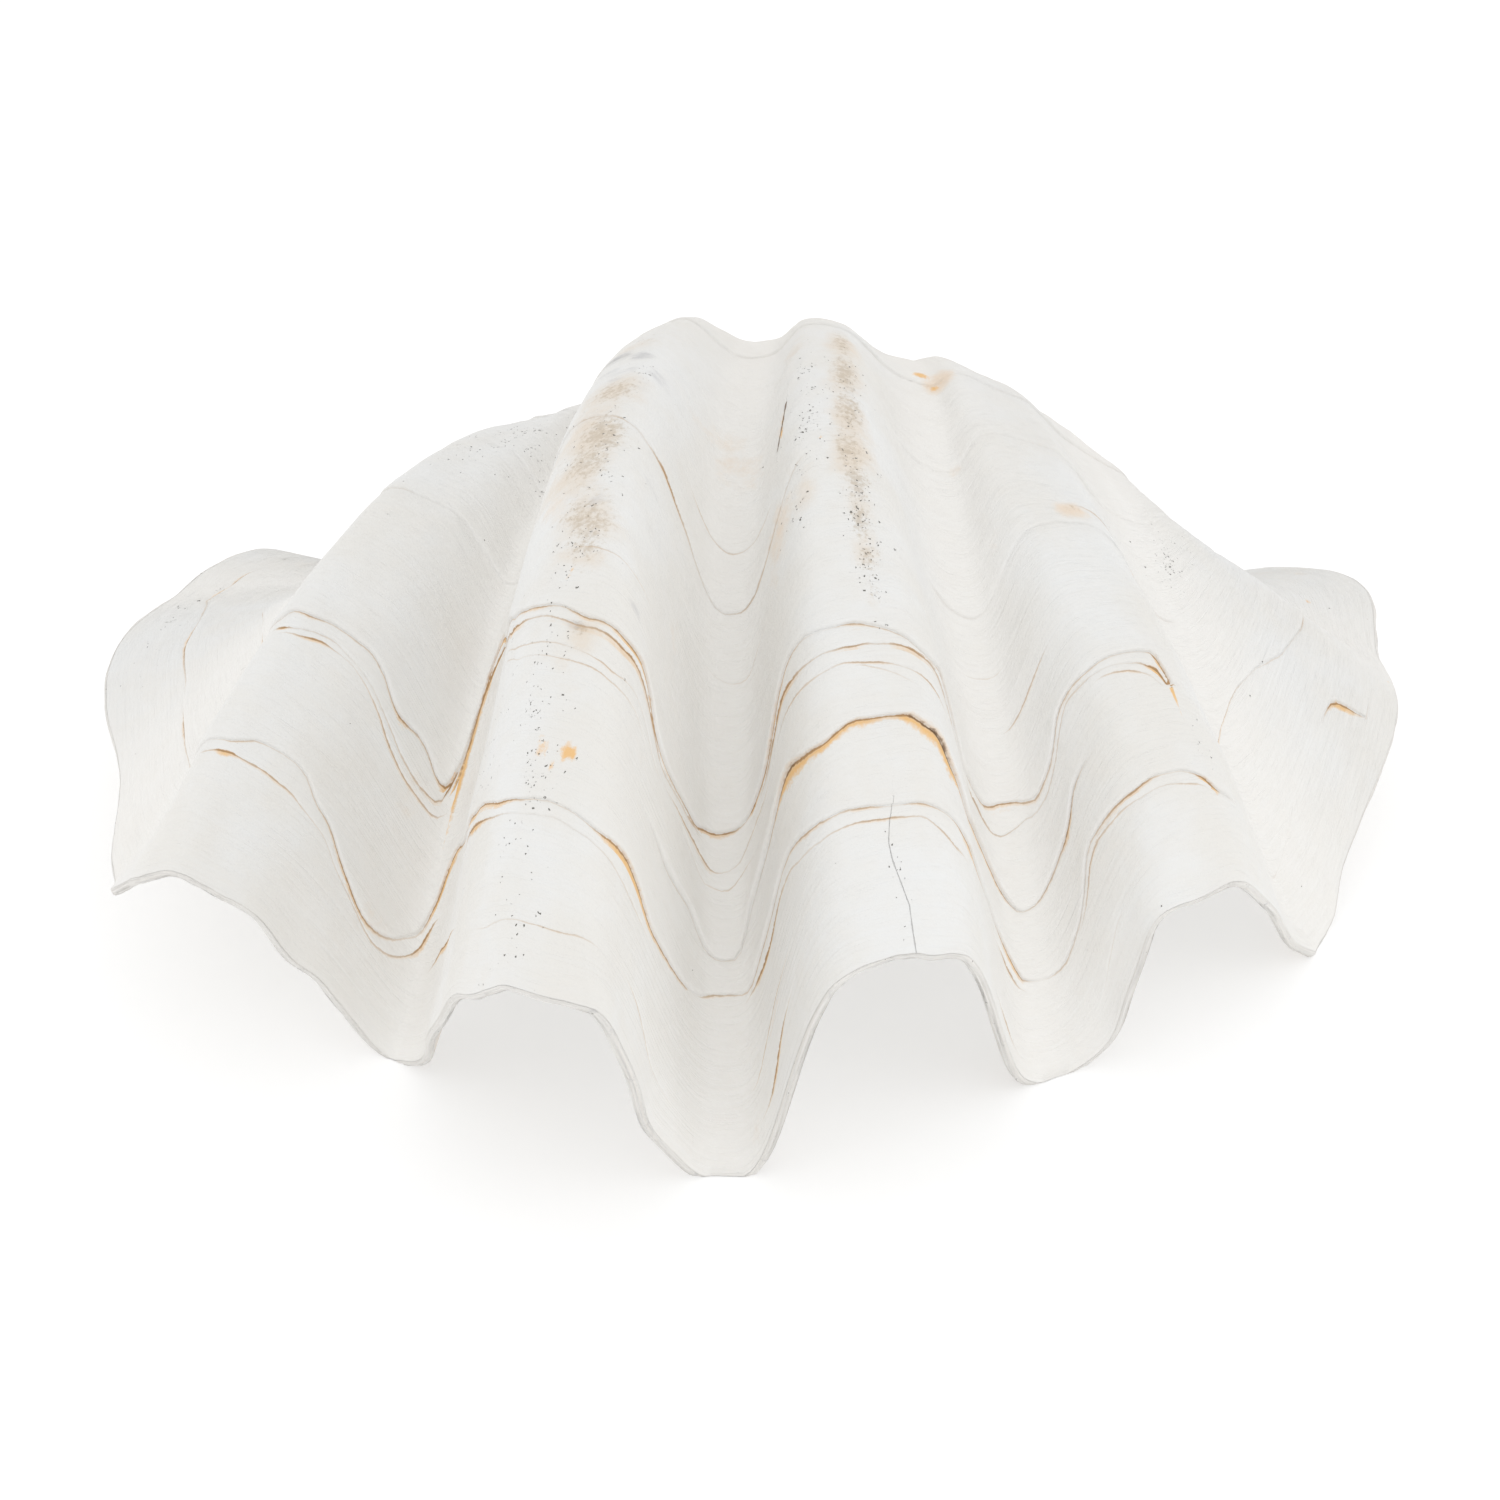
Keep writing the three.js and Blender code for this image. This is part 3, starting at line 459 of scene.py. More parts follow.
# Cracks: place, age along each one, its half width, and the ages between which it thins to
# CRACK_THINNEST. Past its ends the distance to it grows CRACK_END times as fast.
CRACKS = {
    "crack": {"path": ((9.02, 0.182), (8.96, 0.135), (8.95, 0.118), (8.965, 0.098),
                       (9.01, 0.070), (9.04, 0.052), (9.045, 0.03), (9.06, -0.01)),
              "half_width": 0.00026, "thins": (0.1, 0.182)},
    "slit": {"path": ((8.475, 1.01), (8.46, 0.975), (8.44, 0.932), (8.405, 0.885),
                      (8.40, 0.87)),
             "half_width": 0.0012, "thins": (1.5, 2.0)},
}
CRACK_THINNEST = 0.15
CRACK_END = 40
CRACK_LAYERS = (("crack", "speck", 0.3), ("slit", "umber", 0.85))

# Ink of the growth lines: least and most for each tone, and half widths of the spread ochre
# and of the line itself, per ink and without any, in metres
HALO_INK = (0.05, 1.0)
LINE_INK = (0.0, 0.5)
OCHRE_INK = (0.15, 0.65)
UMBER_INK = (0.9, 1.6)
SEAM_STRENGTH = 0.95
HALO_HALF = (0.0034, -0.0004)
LEAST_HALO_HALF = 0.0001
LINE_HALF = (0.0005, 0.0003)

# Node groups. Fine growth lines: waves along the margin, share of the lines, weight. The rest
# are noise scales per metre, noise levels and what they turn into.
STRIAE = ((22.0, 1.0, 0.6), (60.0, 2.9, 0.4))
SPECKS = {"warp": 0.003, "smallest": 0.35, "core": 0.6, "crowds": 75.0,
          "crowd": (0.42, 0.62), "sparse": 0.1}
THIN_LINE = {"noise": 260.0, "levels": (0.3, 0.7), "widths": (0.55, 1.35), "core": 0.35}
SEAM = {"bend_noise": 170.0, "bend": 0.0008, "width_noise": 420.0,
        "width_levels": (0.25, 0.75), "apart": (0.0003, 0.0006)}
STAIN_LEVEL = {"none": 0.86, "by_mask": 0.6, "lift": 0.12}

# Marks that aren't 0 where a part of the surface leaves them out
ABSENT_MARKS = {"seam": 0.05, "past": 0.05, "crack": 50.0, "slit": 50.0}

# Inner face: the scar of the closing muscle and the line where the mantle held on
MUSCLE_SCAR = {"place": 9.6, "age": 1.16, "half_places": 1.5, "half_age": 0.2,
               "edge": (0.85, 1.1)}
PALLIAL = {"age": 0.42, "half_age": 0.015, "step": 0.0006, "stain_half_age": 0.02}
NEAR_RIM_AGE = 0.25

# Grids: columns and rows of the faces, with gaps between rows in radians
OUTER_COLUMNS = 470
INNER_COLUMNS = 200
INNER_ROWS = 38
INNER_ROW_CROWDING = 1.15
YOUNG_ROW_GAP = 0.0185
OLD_ROW_GAP = 0.042
YOUNG_UNTIL = 1.1
CAP_ROWS = 4
PLATE_STEPS = 13

# Spread of the columns: share that goes by place, samples per place, a plain line, and the
# numbers of the ledges along which the rest goes by length
EVENNESS = 0.35
EVEN_SAMPLES = 200
EVEN_LINE = ((0, PLACES), (0.1, 0.1))
STRONG_LINES = (3, 8)

# Step for differences, shares of a closed edge that the margin and each side of the hinge
# take up, share of the gap to the next line that a ledge's rows may fill, and small guards
PROBE = 0.004
MARGIN_SHARE = 0.6
SIDE_SHARE = 0.2
LINE_ROOM = 0.42
LEAST_ROW_STEP = 1e-7
LAST_CELL = 1.001

# The mesh's material slots, and where the cap, the tips, the plate and the lip lie in its UV
OUTSIDE, RIM, INSIDE = 0, 1, 2
CAP_AGE = 0.3
CAP_V = 0.02
TIP_UV = ([0.5], [1.0])
PLATE_UV = {"u_per_metre": 2, "v": 0.3, "v_by": 0.02}
LIP_V = -0.004

# Studio
LOOK_AT = Vector((0.0008, 0.1202, -0.003))
CAMERA_DISTANCE = 2.1
CAMERA_ELEVATION = radians(37)
SENSOR_WIDTH = 36.0
PHOTO_SIDE = 1500
FOCAL_PIXELS = 4200
FLOOR_HALF = 4.0
FLOOR_GAP = 0.0004
LIGHT_SIZE = 1.4
LIGHT_PLACES = {"right": (1.7, -0.7, 1.3), "left": (-1.7, -0.7, 1.3)}


def ease(share):
    """0 to 1 with level ends: 3 s^2 - 2 s^3."""
    return share * share * (3 - 2 * share)


def ramp(value, low, high):
    """Eased rise from 0 at low to 1 at high."""
    return ease(np.clip((value - low) / (high - low), 0, 1))


def bell(value, centre, width):
    """Hump of height 1: e to the minus square of the distance in widths."""
    return np.exp(-(((value - centre) / width) ** 2))


def unit(vectors):
    """Vectors divided by their lengths."""
    return vectors / np.maximum(np.linalg.norm(vectors, axis=-1, keepdims=True), 1e-12)


def smooth(values, position):
    """Catmull-Rom curve through values at whole numbers, its ends carried on straight."""
    last = len(values) - 1
    index = np.clip(np.floor(position).astype(int), 0, last - 1)
    ends = (2 * values[:1] - values[1:2], values, 2 * values[-1:] - values[-2:-1])
    padded = np.concatenate(ends)
    t = np.clip(position - index, 0, 1)
    if values.ndim > 1:
        t = t[..., None]
    a, b, c, d = (padded[index + step] for step in range(4))
    return 0.5 * (2 * b + (c - a) * t + (2 * a - 5 * b + 4 * c - d) * t ** 2
                  + (3 * b - a - 3 * c + d) * t ** 3)


def chance(seed, *counts):
    """Seeded chance numbers from -1 to 1."""
    return np.random.default_rng(seed).uniform(-1, 1, counts)


def wander(position, seed, per_unit):
    """Smooth chance curve along a line: chance values joined by a Catmull-Rom curve."""
    return smooth(chance(seed, int(PLACES * per_unit) + 2), position * per_unit)


def waves(place, layers, number=0):
    """Chance curves of all layers added up."""
    return sum(share * wander(place, seed + number, per_place)
               for share, seed, per_place in layers)


def patches(place, age, seed, per_place, per_age):
    """Smooth chance field over the shell: a lattice of chance values, eased in between."""
    lattice = chance(seed, int(PLACES * per_place) + 2, int(AGE_SPAN * per_age) + 2)
    x = np.clip(place * per_place, 0, lattice.shape[0] - LAST_CELL)
    y = np.clip(age * per_age, 0, lattice.shape[1] - LAST_CELL)
    i, j = x.astype(int), y.astype(int)
    s, t = ease(x - i), ease(y - j)
    near = (1 - t) * lattice[i, j] + t * lattice[i, j + 1]
    far = (1 - t) * lattice[i + 1, j] + t * lattice[i + 1, j + 1]
    return (1 - s) * near + s * far


def swells(place, age, layers, swell):
    """Chance fields of all layers added up, in metres."""
    return sum(swell * share * patches(place, age, seed, per_place, per_age)
               for share, seed, per_place, per_age in layers)


def furrow_line(place):
    """Curve through the furrow knots, which stand at even places."""
    return smooth(KNOTS[::2, :3], place / 2)


def crest_index(place):
    """Number of the rib that a place belongs to, 0 to 7."""
    return np.clip(np.floor(place / 2).astype(int), 0, PLACES // 2 - 1)


def old_share(age):
    """How far a growth line's ribs have gone over to the old shape: 1 less
    1 / (1 + (age / half age)^power)."""
    return 1 - 1 / (1 + (age / OLD_RIBS["half_age"]) ** OLD_RIBS["power"])


def blend(young, old, share):
    """Young value going over to the old one."""
    return young + (old - young) * share


def rise_share(place, age=0.0):
    """How far up its rib a place stands: n^a / (n^a + ((1 - n) c / (1 - c))^a), where n is
    nearness to the crest, c where the flank stands and a how steep it is."""
    rib = crest_index(place)
    crest = 2 * rib + 1
    column = np.where(place < crest, 0, 2)
    old = old_share(age)
    where = blend(FLANKS[rib, column], OLD_FLANKS[rib, column], old)
    steep = blend(FLANKS[rib, column + 1], OLD_FLANKS[rib, column + 1], old)
    near = np.clip(1 - np.abs(place - crest), 0, 1)
    rising = near ** steep
    falling = ((1 - near) * where / (1 - where)) ** steep
    return rising / (rising + falling)


def rib_rise(place, age=0.0):
    """Rise of a growth line above the furrow line, as it was when it was the margin."""
    crests = np.arange(1, PLACES, 2)
    heights = KNOTS[1::2, :3] - furrow_line(crests.astype(float))
    rib = crest_index(place)
    height = rise_share(place, age) * blend(1, OLD_FLANKS[rib, 4], old_share(age))
    return heights[rib] * height[..., None]


def turn_share(place):
    """Share of the age that a place turns: a quarter sine wave up from each hinge end."""
    from_end = np.minimum(place, PLACES - place) / HINGE_TURN_PLACES
    return np.sin(np.clip(from_end, 0, 1) * np.pi / 2)


def size_at(place, age, curl, ease_off=0.0):
    """Size of a growth line against the margin: e^(-k age - c (age - start)^2)."""
    curled = np.maximum(0, age - curl["from"])
    shrink = smooth(KNOTS[:, 3], place) - ease_off
    return np.exp(-shrink * age - curl["rate"] * curled ** 2)


def swing(pole, arm, angle, size):
    """Arm turned about the hinge direction, shrunk, and hung on a pole."""
    turn = np.stack([
        arm[..., 0],
        arm[..., 1] * np.cos(angle) + arm[..., 2] * np.sin(angle),
        -arm[..., 1] * np.sin(angle) + arm[..., 2] * np.cos(angle),
    ], axis=-1)
    return pole + size[..., None] * turn


def margin_drift(place):
    """How far the margin strays from the growth law at each place."""
    right = sum(x * bell(place, centre, width) for centre, width, x, _ in MARGIN_DRIFT)
    up = sum(z * bell(place, centre, width) for centre, width, _, z in MARGIN_DRIFT)
    return np.stack([right, np.zeros_like(place), up], axis=-1)


def plain_outer(place, age):
    """Outer face without ledges: the margin's arm from the beak, its ribs flattened by
    1 / (1 + (age / half)^2), turned by the age and shrunk, with the margin's own drift."""
    place, age = np.broadcast_arrays(np.asarray(place, float), np.asarray(age, float))
    rib_share = 1 / (1 + (age / RIB_HALF_AGE) ** 2)
    arm = furrow_line(place) - BEAK + rib_rise(place, age) * rib_share[..., None]
    point = swing(BEAK, arm, age * turn_share(place), size_at(place, age, OUTER_CURL))
    lean = ramp(age, BEAK_LEAN["from"], BEAK_LEAN["from"] + BEAK_LEAN["over"])
    point[..., 0] += BEAK_LEAN["by"] * lean
    return point + margin_drift(place) * bell(age, 0, DRIFT_AGE)[..., None]


class Growth(NamedTuple):
    """Directions at points of the outer face, and metres between growth lines per radian."""
    older: np.ndarray
    outward: np.ndarray
    rate: np.ndarray
    stretch: np.ndarray


def growth_at(place, age):
    """Growth directions from small differences along the margin and towards the beak."""
    before, after = np.maximum(place - PROBE, 0), np.minimum(place + PROBE, PLACES)
    along = (plain_outer(after, age) - plain_outer(before, age)) / (after - before)[..., None]
    young = np.maximum(age - PROBE, 0)
    span = (age + PROBE - young)[..., None]
    back = (plain_outer(place, age + PROBE) - plain_outer(place, young)) / span
    across = np.cross(along, back)
    stretch = np.linalg.norm(along, axis=-1)
    rate = np.linalg.norm(across, axis=-1) / np.maximum(stretch, 1e-9)
    outward = unit(across)
    return Growth(np.cross(outward, unit(along)), outward, rate, stretch)


def margin_age(place):
    """How far back the margin is worn: broad bites and a little chance wear."""
    bites = sum(age * bell(place, centre, width) for centre, width, age in MARGIN_BITES)
    return LIP_AGE + bites + MARGIN_WEAR * waves(place, WEAR_WAVES)


def line_age(ledge, number, place):
    """Age of a growth line: its path with rounded corners, and a chance wobble."""
    fine = np.linspace(0, PLACES, PLACES * PATH_SAMPLES + 1)
    places, ages = np.array(ledge.path).T
    window = bell(np.arange(-PATH_WINDOW, PATH_WINDOW + 1), 0, PATH_ROUNDING * PATH_SAMPLES)
    path = np.convolve(np.pad(np.interp(fine, places, ages), PATH_WINDOW, mode="edge"),
                       window / window.sum(), mode="valid")
    return np.interp(place, fine, path) + LEDGE_WOBBLE * waves(place, WOBBLE_WAVES, number)


def line_ages(place):
    """Ages of all growth lines, youngest first, kept a small step apart."""
    lines = []
    floor = margin_age(place) + LEDGE_CLEARANCE
    for number, ledge in enumerate(LEDGES):
        lines.append(np.maximum(line_age(ledge, number, place), floor))
        floor = lines[-1] + LEDGE_CLEARANCE
    return lines


def line_rate(growth, line, place):
    """Metres across a growth line per radian of age, less where the line runs steeply: the
    rate divided by the root of 1 + (climb x rate / stretch)^2."""
    climb = np.gradient(line, place) * growth.rate / np.maximum(growth.stretch, 1e-6)
    return np.maximum(growth.rate, LEAST_RATE) / np.sqrt(1 + climb ** 2)


def line_reach(ledge, place):
    """How much of a ledge shows at a place: 1 inside its spans, eased to 0 outside."""
    reach = [ramp(place, start - LEDGE_BLEND, start + LEDGE_BLEND)
             * (1 - ramp(place, end - LEDGE_BLEND, end + LEDGE_BLEND))
             for start, end in ledge.spans]
    return np.max(reach, axis=0)


def line_ink(ledge, number, place):
    """Ochre in the crevice under a ledge: its own ink, broken up by chance, and accents."""
    broken = INK_LEVEL + waves(place, INK_WAVES, number)
    more = sum(ink * bell(place, centre, width) for centre, width, ink in ledge.accents)
    return np.clip((ledge.ink + more) * broken, 0, MOST_INK) * line_reach(ledge, place)


def outer_ages(place):
    """Ages of every row at each place: rows that follow each growth line's section, and
    even rows in between."""
    lines = line_ages(place)
    start, end = margin_age(place), np.full_like(place, OUTER_END_AGE)
    walls = [start, *lines, end]
    rows = [start]
    for number, ledge in enumerate(LEDGES):
        line = lines[number]
        rate = line_rate(growth_at(place, line), line, place)
        offsets = STRONG_ROWS if ledge.step > STRONG_STEP else FINE_ROWS
        low = -LINE_ROOM * (line - walls[number])
        high = LINE_ROOM * (walls[number + 2] - line)
        block = [line + np.clip(offset / rate, low, high) for offset in offsets]
        rows += rows_between(rows[-1], block[0]) + block
    rows += rows_between(rows[-1], end) + [end]
    ages = np.stack(rows)
    steps = LEAST_ROW_STEP * np.arange(len(ages))[:, None]
    return np.maximum.accumulate(ages, axis=0) + steps


def rows_between(young, old):
    """Even rows between two rows, closer together near the margin."""
    gap = YOUNG_ROW_GAP if np.median(young) < YOUNG_UNTIL else OLD_ROW_GAP
    count = max(1, round(float(np.median(old - young)) / gap))
    return [young + (old - young) * step / count for step in range(1, count)]


def even_places(count, lines):
    """Columns evenly spread along growth lines, partly by length and partly by place."""
    fine = np.linspace(0, PLACES, PLACES * EVEN_SAMPLES + 1)
    measure = EVENNESS * fine / PLACES
    for line in lines:
        edge = plain_outer(fine, np.interp(fine, *line))
        run = np.concatenate([[0], np.cumsum(np.linalg.norm(np.diff(edge, axis=0), axis=1))])
        measure += (1 - EVENNESS) / len(lines) * run / run[-1]
    return np.interp(np.linspace(0, 1, count), measure, fine)


def outer_face(place, age, form):
    """Outer face with its ledges. Along the outward direction: each ledge's section times
    its step, thinning by e^(-a / fade) where a is the age past its line, and slow chance
    swells. Against the direction of age: each ledge's slip."""
    growth = growth_at(place, age)
    grown = np.minimum(1, size_at(place, age, OUTER_CURL) * LEDGE_GROWTH)
    height = swells(place, age, OUTER_SWELLS, form.swell)
    slip = np.zeros_like(age)
    seam = np.full_like(age, ABSENT_MARKS["seam"])
    ink = np.zeros_like(age)
    for number, (ledge, line) in enumerate(zip(LEDGES, line_ages(place[0]))):
        past = (age - line) * line_rate(growth, line, place[0])
        shown = line_reach(ledge, place)
        reach = shown * grown * ledge.step * form.ledge_scale
        thinning = np.exp(-np.maximum(0, age - line) / ledge.fade)
        height += reach * thinning * np.interp(past, LEDGE_PAST, LEDGE_RISE)
        slip += reach * np.interp(past, LEDGE_PAST, LEDGE_SLIP)
        away = past + (CREVICE if ledge.step > STRONG_STEP else 0)
        nearer = (shown > LEDGE_SHOWS) & (np.abs(away) < np.abs(seam))
        seam = np.where(nearer, away, seam)
        ink = np.where(nearer, line_ink(ledge, number, place), ink)
    point = plain_outer(place, age)
    point += growth.outward * height[..., None] - growth.older * slip[..., None]
    return point, growth, seam, ink


def crack_distance(crack, place, age, growth):
    """Signed distance to a crack, in its half widths."""
    places, ages = np.array(crack["path"]).T
    centre = np.interp(age, ages[::-1], places[::-1])
    beyond = np.maximum(0, np.maximum(age - ages.max(), ages.min() - age)) * growth.rate
    thinned = np.interp(age, crack["thins"], (1, CRACK_THINNEST))
    side = (place - centre) * growth.stretch / thinned
    away = np.where(side < 0, -1, 1) * (np.abs(side) + CRACK_END * beyond)
    return away / crack["half_width"]


def outer_marks(place, age, growth, seam, ink):
    """Masks for the outer material, one value for each point."""
    marks = {}
    for kind, spots in BLOTCHES.items():
        marks[kind] = np.zeros_like(age)
        for centre, middle, half, half_age, strength in spots:
            spot = strength * bell(place, centre, half) * bell(age, middle, half_age)
            marks[kind] = np.maximum(marks[kind], spot)
    marks["speck"] = sum(share * bell(place, centre, half) * bell(age, middle, half_age)
                         for centre, middle, half, half_age, share in SPECK_FIELDS)
    # Painted light: this mask paints the furrows paler, to offset the shade that falls in them
    marks["furrow"] = (1 - rise_share(place)) ** FURROW_LIGHT_FALL
    marks["old"] = ramp(age, OLD_TINT["from"], OLD_TINT["from"] + OLD_TINT["over"])
    marks["seam"] = np.abs(seam)
    marks["past"] = seam
    marks["ink"] = ink
    for name, crack in CRACKS.items():
        marks[name] = crack_distance(crack, place, age, growth)
    return marks


def inner_face(place, age, form):
    """Inner face: the margin moved in by the rim's thickness, its ribs fading by
    e^(-(age / half)^2), turned and shrunk about the inner pole, and thickened inwards."""
    start = margin_age(place)
    rim = growth_at(place, start)
    edge = plain_outer(place, start) - form.rim_thickness * rim.outward
    rise = rib_rise(place) * (1 - np.exp(-((age / INNER_RIB_AGE) ** 2)))[..., None]
    size = size_at(place, age, INNER_CURL, INNER_SHRINK_EASE)
    gain = WALL_GAIN["by"] * size * (1 - np.exp(-age / WALL_GAIN["over"]))
    line, half = PALLIAL["age"], PALLIAL["half_age"]
    past_line = ramp(age, line - half, line + half)
    gain += PALLIAL["step"] * (past_line - muscle_scar(place, age))
    gain += swells(place, age, INNER_SWELLS, form.swell)
    rise += margin_drift(place) * (1 - bell(age, 0, DRIFT_AGE))[..., None]
    point = swing(INNER_POLE, edge - INNER_POLE - rise, age * turn_share(place), size)
    return point - growth_at(place, age).outward * gain[..., None]


def muscle_scar(place, age):
    """1 inside the oval scar of the closing muscle, 0 outside."""
    across = (place - MUSCLE_SCAR["place"]) / MUSCLE_SCAR["half_places"]
    along = (age - MUSCLE_SCAR["age"]) / MUSCLE_SCAR["half_age"]
    return 1 - ramp(across ** 2 + along ** 2, *MUSCLE_SCAR["edge"])


class Surface:
    """Points with their marks, and faces, gathered before they become one mesh."""

    def __init__(self):
        self.points = []
        self.marks = []
        self.faces = []
        self.count = 0

    def add(self, points, part, uv, **marks):
        """Adds points in any grid shape and returns their numbers in the same shape. part is
        the material slot, one for all the points or one for each."""
        shape = points.shape[:-1]
        flat = {name: np.broadcast_to(value, shape).ravel() for name, value in marks.items()}
        flat["part"] = np.broadcast_to(part, shape).ravel()
        flat["u"], flat["v"] = (np.broadcast_to(value, shape).ravel() for value in uv)
        self.points.append(points.reshape(-1, 3))
        self.marks.append(flat)
        numbers = self.count + np.arange(int(np.prod(shape))).reshape(shape)
        self.count += numbers.size
        return numbers

    def mark(self, key, absent=0.0):
        """One mark at all points, with a value for the parts that leave it out."""
        return np.concatenate([marks.get(key, np.full(len(marks["part"]), absent))
                               for marks in self.marks])

    def quads(self, numbers, flip=False):
        """Faces of a grid of point numbers, rows first, split into triangles."""
        a, b = numbers[:-1, :-1], numbers[:-1, 1:]
        c, d = numbers[1:, 1:], numbers[1:, :-1]
        pairs = [np.stack([a, b, c], -1), np.stack([a, c, d], -1)]
        faces = np.concatenate([pair.reshape(-1, 3) for pair in pairs])
        self.faces.append(faces[:, ::-1] if flip else faces)

    def fan(self, row, tip, flip=False):
        """Faces from a row of points to one tip."""
        faces = np.stack([row[:-1], row[1:], np.full(len(row) - 1, tip)], -1)
        self.faces.append(faces[:, ::-1] if flip else faces)

    def join(self, first, first_at, second, second_at):
        """Faces between two closed edges of any point counts. at is how far round each
        point lies, from 0 to 1; the steps of both edges are taken in that order."""
        ends_first = np.append(first_at[1:], 1.0)
        ends_second = np.append(second_at[1:], 1.0)
        ends = np.concatenate([ends_first, ends_second])
        order = np.argsort(ends, kind="stable")
        steps_first = order < len(first)
        a = np.concatenate([[0], np.cumsum(steps_first)])
        b = np.concatenate([[0], np.cumsum(~steps_first)])
        here, there = first[a[:-1] % len(first)], second[b[:-1] % len(second)]
        beyond = np.where(steps_first, first[a[1:] % len(first)], second[b[1:] % len(second)])
        self.faces.append(np.stack([here, there, beyond], -1))


class Edge(NamedTuple):
    """Closed edge of a face: along the margin, in along the right side of the hinge and
    out along its left side. inward is 0 on the margin and 1 at the beak."""
    numbers: np.ndarray
    place: np.ndarray
    inward: np.ndarray
    at: np.ndarray


def edge_of(numbers, tip, place, sizes):
    """Edge of a grid of point numbers that is closed at its pole by a tip. sizes are those
    of the growth lines at the hinge, 1 at the margin."""
    right, left = numbers[1:, -1], numbers[1:, 0][::-1]
    in_right, in_left = 1 - sizes[1:, -1], 1 - sizes[1:, 0][::-1]
    at = [MARGIN_SHARE * place / PLACES, MARGIN_SHARE + SIDE_SHARE * in_right,
          [1 - SIDE_SHARE], 1 - SIDE_SHARE * in_left]
    ends = np.full(len(right), float(PLACES)), [PLACES], np.zeros(len(left))
    return Edge(
        np.concatenate([numbers[0], right, [tip], left]),
        np.concatenate([place, *ends]),
        np.concatenate([np.zeros(len(place)), in_right, [1.0], in_left]),
        np.concatenate(at),
    )


def plate_height(share, edge_height, rim_thickness):
    """Height of the hinge plate's underside: level in the middle, running out into the rim
    at the ends, with a low gape. share is -1 and 1 at the hinge ends."""
    gape = BYSSAL_GAPE["height"] * bell(share, BYSSAL_GAPE["share"], BYSSAL_GAPE["width"])
    ends = ramp(np.abs(share), PLATE_ENDS["from"], PLATE_ENDS["from"] + PLATE_ENDS["over"])
    rim = edge_height - PLATE_END_DROP * rim_thickness
    return (PLATE_Z + gape) * (1 - ends) + rim * ends


def tooth_height(x, y):
    """Underside of the hinge teeth, each the lower half of a stretched ball."""
    lowest = np.full_like(x, 1.0)
    for tooth in TEETH:
        dx, dy = x - tooth["at"][0], y - tooth["at"][1]
        along = dx * cos(tooth["yaw"]) + dy * sin(tooth["yaw"])
        across = dy * cos(tooth["yaw"]) - dx * sin(tooth["yaw"])
        inside = 1 - (along / tooth["half"][0]) ** 2 - (across / tooth["half"][1]) ** 2
        bottom = tooth["at"][2] - tooth["half"][2] * np.sqrt(np.maximum(inside, 0))
        lowest = np.where(inside > 0, np.minimum(lowest, bottom), lowest)
    return lowest


def plate_ring(start, edge, share, form):
    """Points of the hinge plate at one share of the way from its back to the hollow. A
    share below 0 lies on the quarter ellipse that rounds the back off."""
    side = np.sign(start[:, 0] - BEAK[0] - BEAK_LEAN["by"]) * (1 - edge.inward)
    depth = ((INNER_POLE[1] - BEAK[1]) * edge.inward
             - form.rim_thickness * (1 - edge.inward) + 2 * PLATE_INSET)
    back = start[:, 1] - PLATE_INSET
    height = plate_height(side, start[:, 2], form.rim_thickness)
    if share < 0:
        round_off = np.sqrt(1 - share ** 2)
        y = start[:, 1] + (back - start[:, 1]) * (1 + share)
        return np.stack([start[:, 0], y, start[:, 2] + (height - start[:, 2]) * round_off], -1)
    y = back + depth * share
    height = np.minimum(height, tooth_height(start[:, 0], y))
    pit = ligament(start[:, 0], start[:, 1] - y)
    return np.stack([start[:, 0], y, height + LIGAMENT["depth"] * pit], -1)


def ligament(x, behind):
    """1 in the long pit that held the ligament, along the back of the hinge plate."""
    left = ramp(x, LIGAMENT["from"], LIGAMENT["from"] + LIGAMENT["rises_over"])
    right = 1 - ramp(x, LIGAMENT["to"] - LIGAMENT["falls_over"], LIGAMENT["to"])
    return left * right * bell(behind, LIGAMENT["behind"], LIGAMENT["width"])


def lip_ring(start, edge, share, form):
    """Points of the rounded lip of the margin; near the hinge it turns to face down.
    A half circle: across (1 - cos a) / 2 of the rim, beyond it by bulge sin a."""
    angle = np.pi * (LIP_TURN["from"] + LIP_TURN["by"] * share)
    age = margin_age(edge.place)
    growth = growth_at(edge.place, age)
    from_end = np.minimum(edge.place, PLACES - edge.place)
    corner = (1 - ramp(from_end, 0, CORNER_PLACES))[:, None]
    beyond = unit(-growth.older * (1 - corner) - np.array([0, 0, 1]) * corner)
    rough = 1 + waves(edge.place, LIP_WAVES, round(LIP_SEEDS * share))
    across = form.rim_thickness * (1 - np.cos(angle)) / 2
    bulge = form.rim_thickness * RIM_BULGE * np.sin(angle) * rough
    return start - growth.outward * across + beyond * bulge[:, None]


def rim_rings(surface, start, edge, form):
    """Rings from the outer edge over the lip and the hinge plate."""
    on_side = edge.inward > 0
    part = np.where(on_side, INSIDE, RIM)
    rings = []
    for share in (*PLATE_BACK, *np.linspace(0, 1, PLATE_STEPS)):
        points = np.where(on_side[:, None], plate_ring(start, edge, share, form),
                          lip_ring(start, edge, share, form))
        pit = ligament(points[:, 0], start[:, 1] - points[:, 1]) * on_side
        u = np.where(on_side, points[:, 0] * PLATE_UV["u_per_metre"], edge.place / PLACES)
        v = np.where(on_side, PLATE_UV["v"] + PLATE_UV["v_by"] * share, LIP_V * (1 + share))
        rings.append(surface.add(points, part, (u, v), ligament=pit, plate=on_side * 1.0))
    return rings


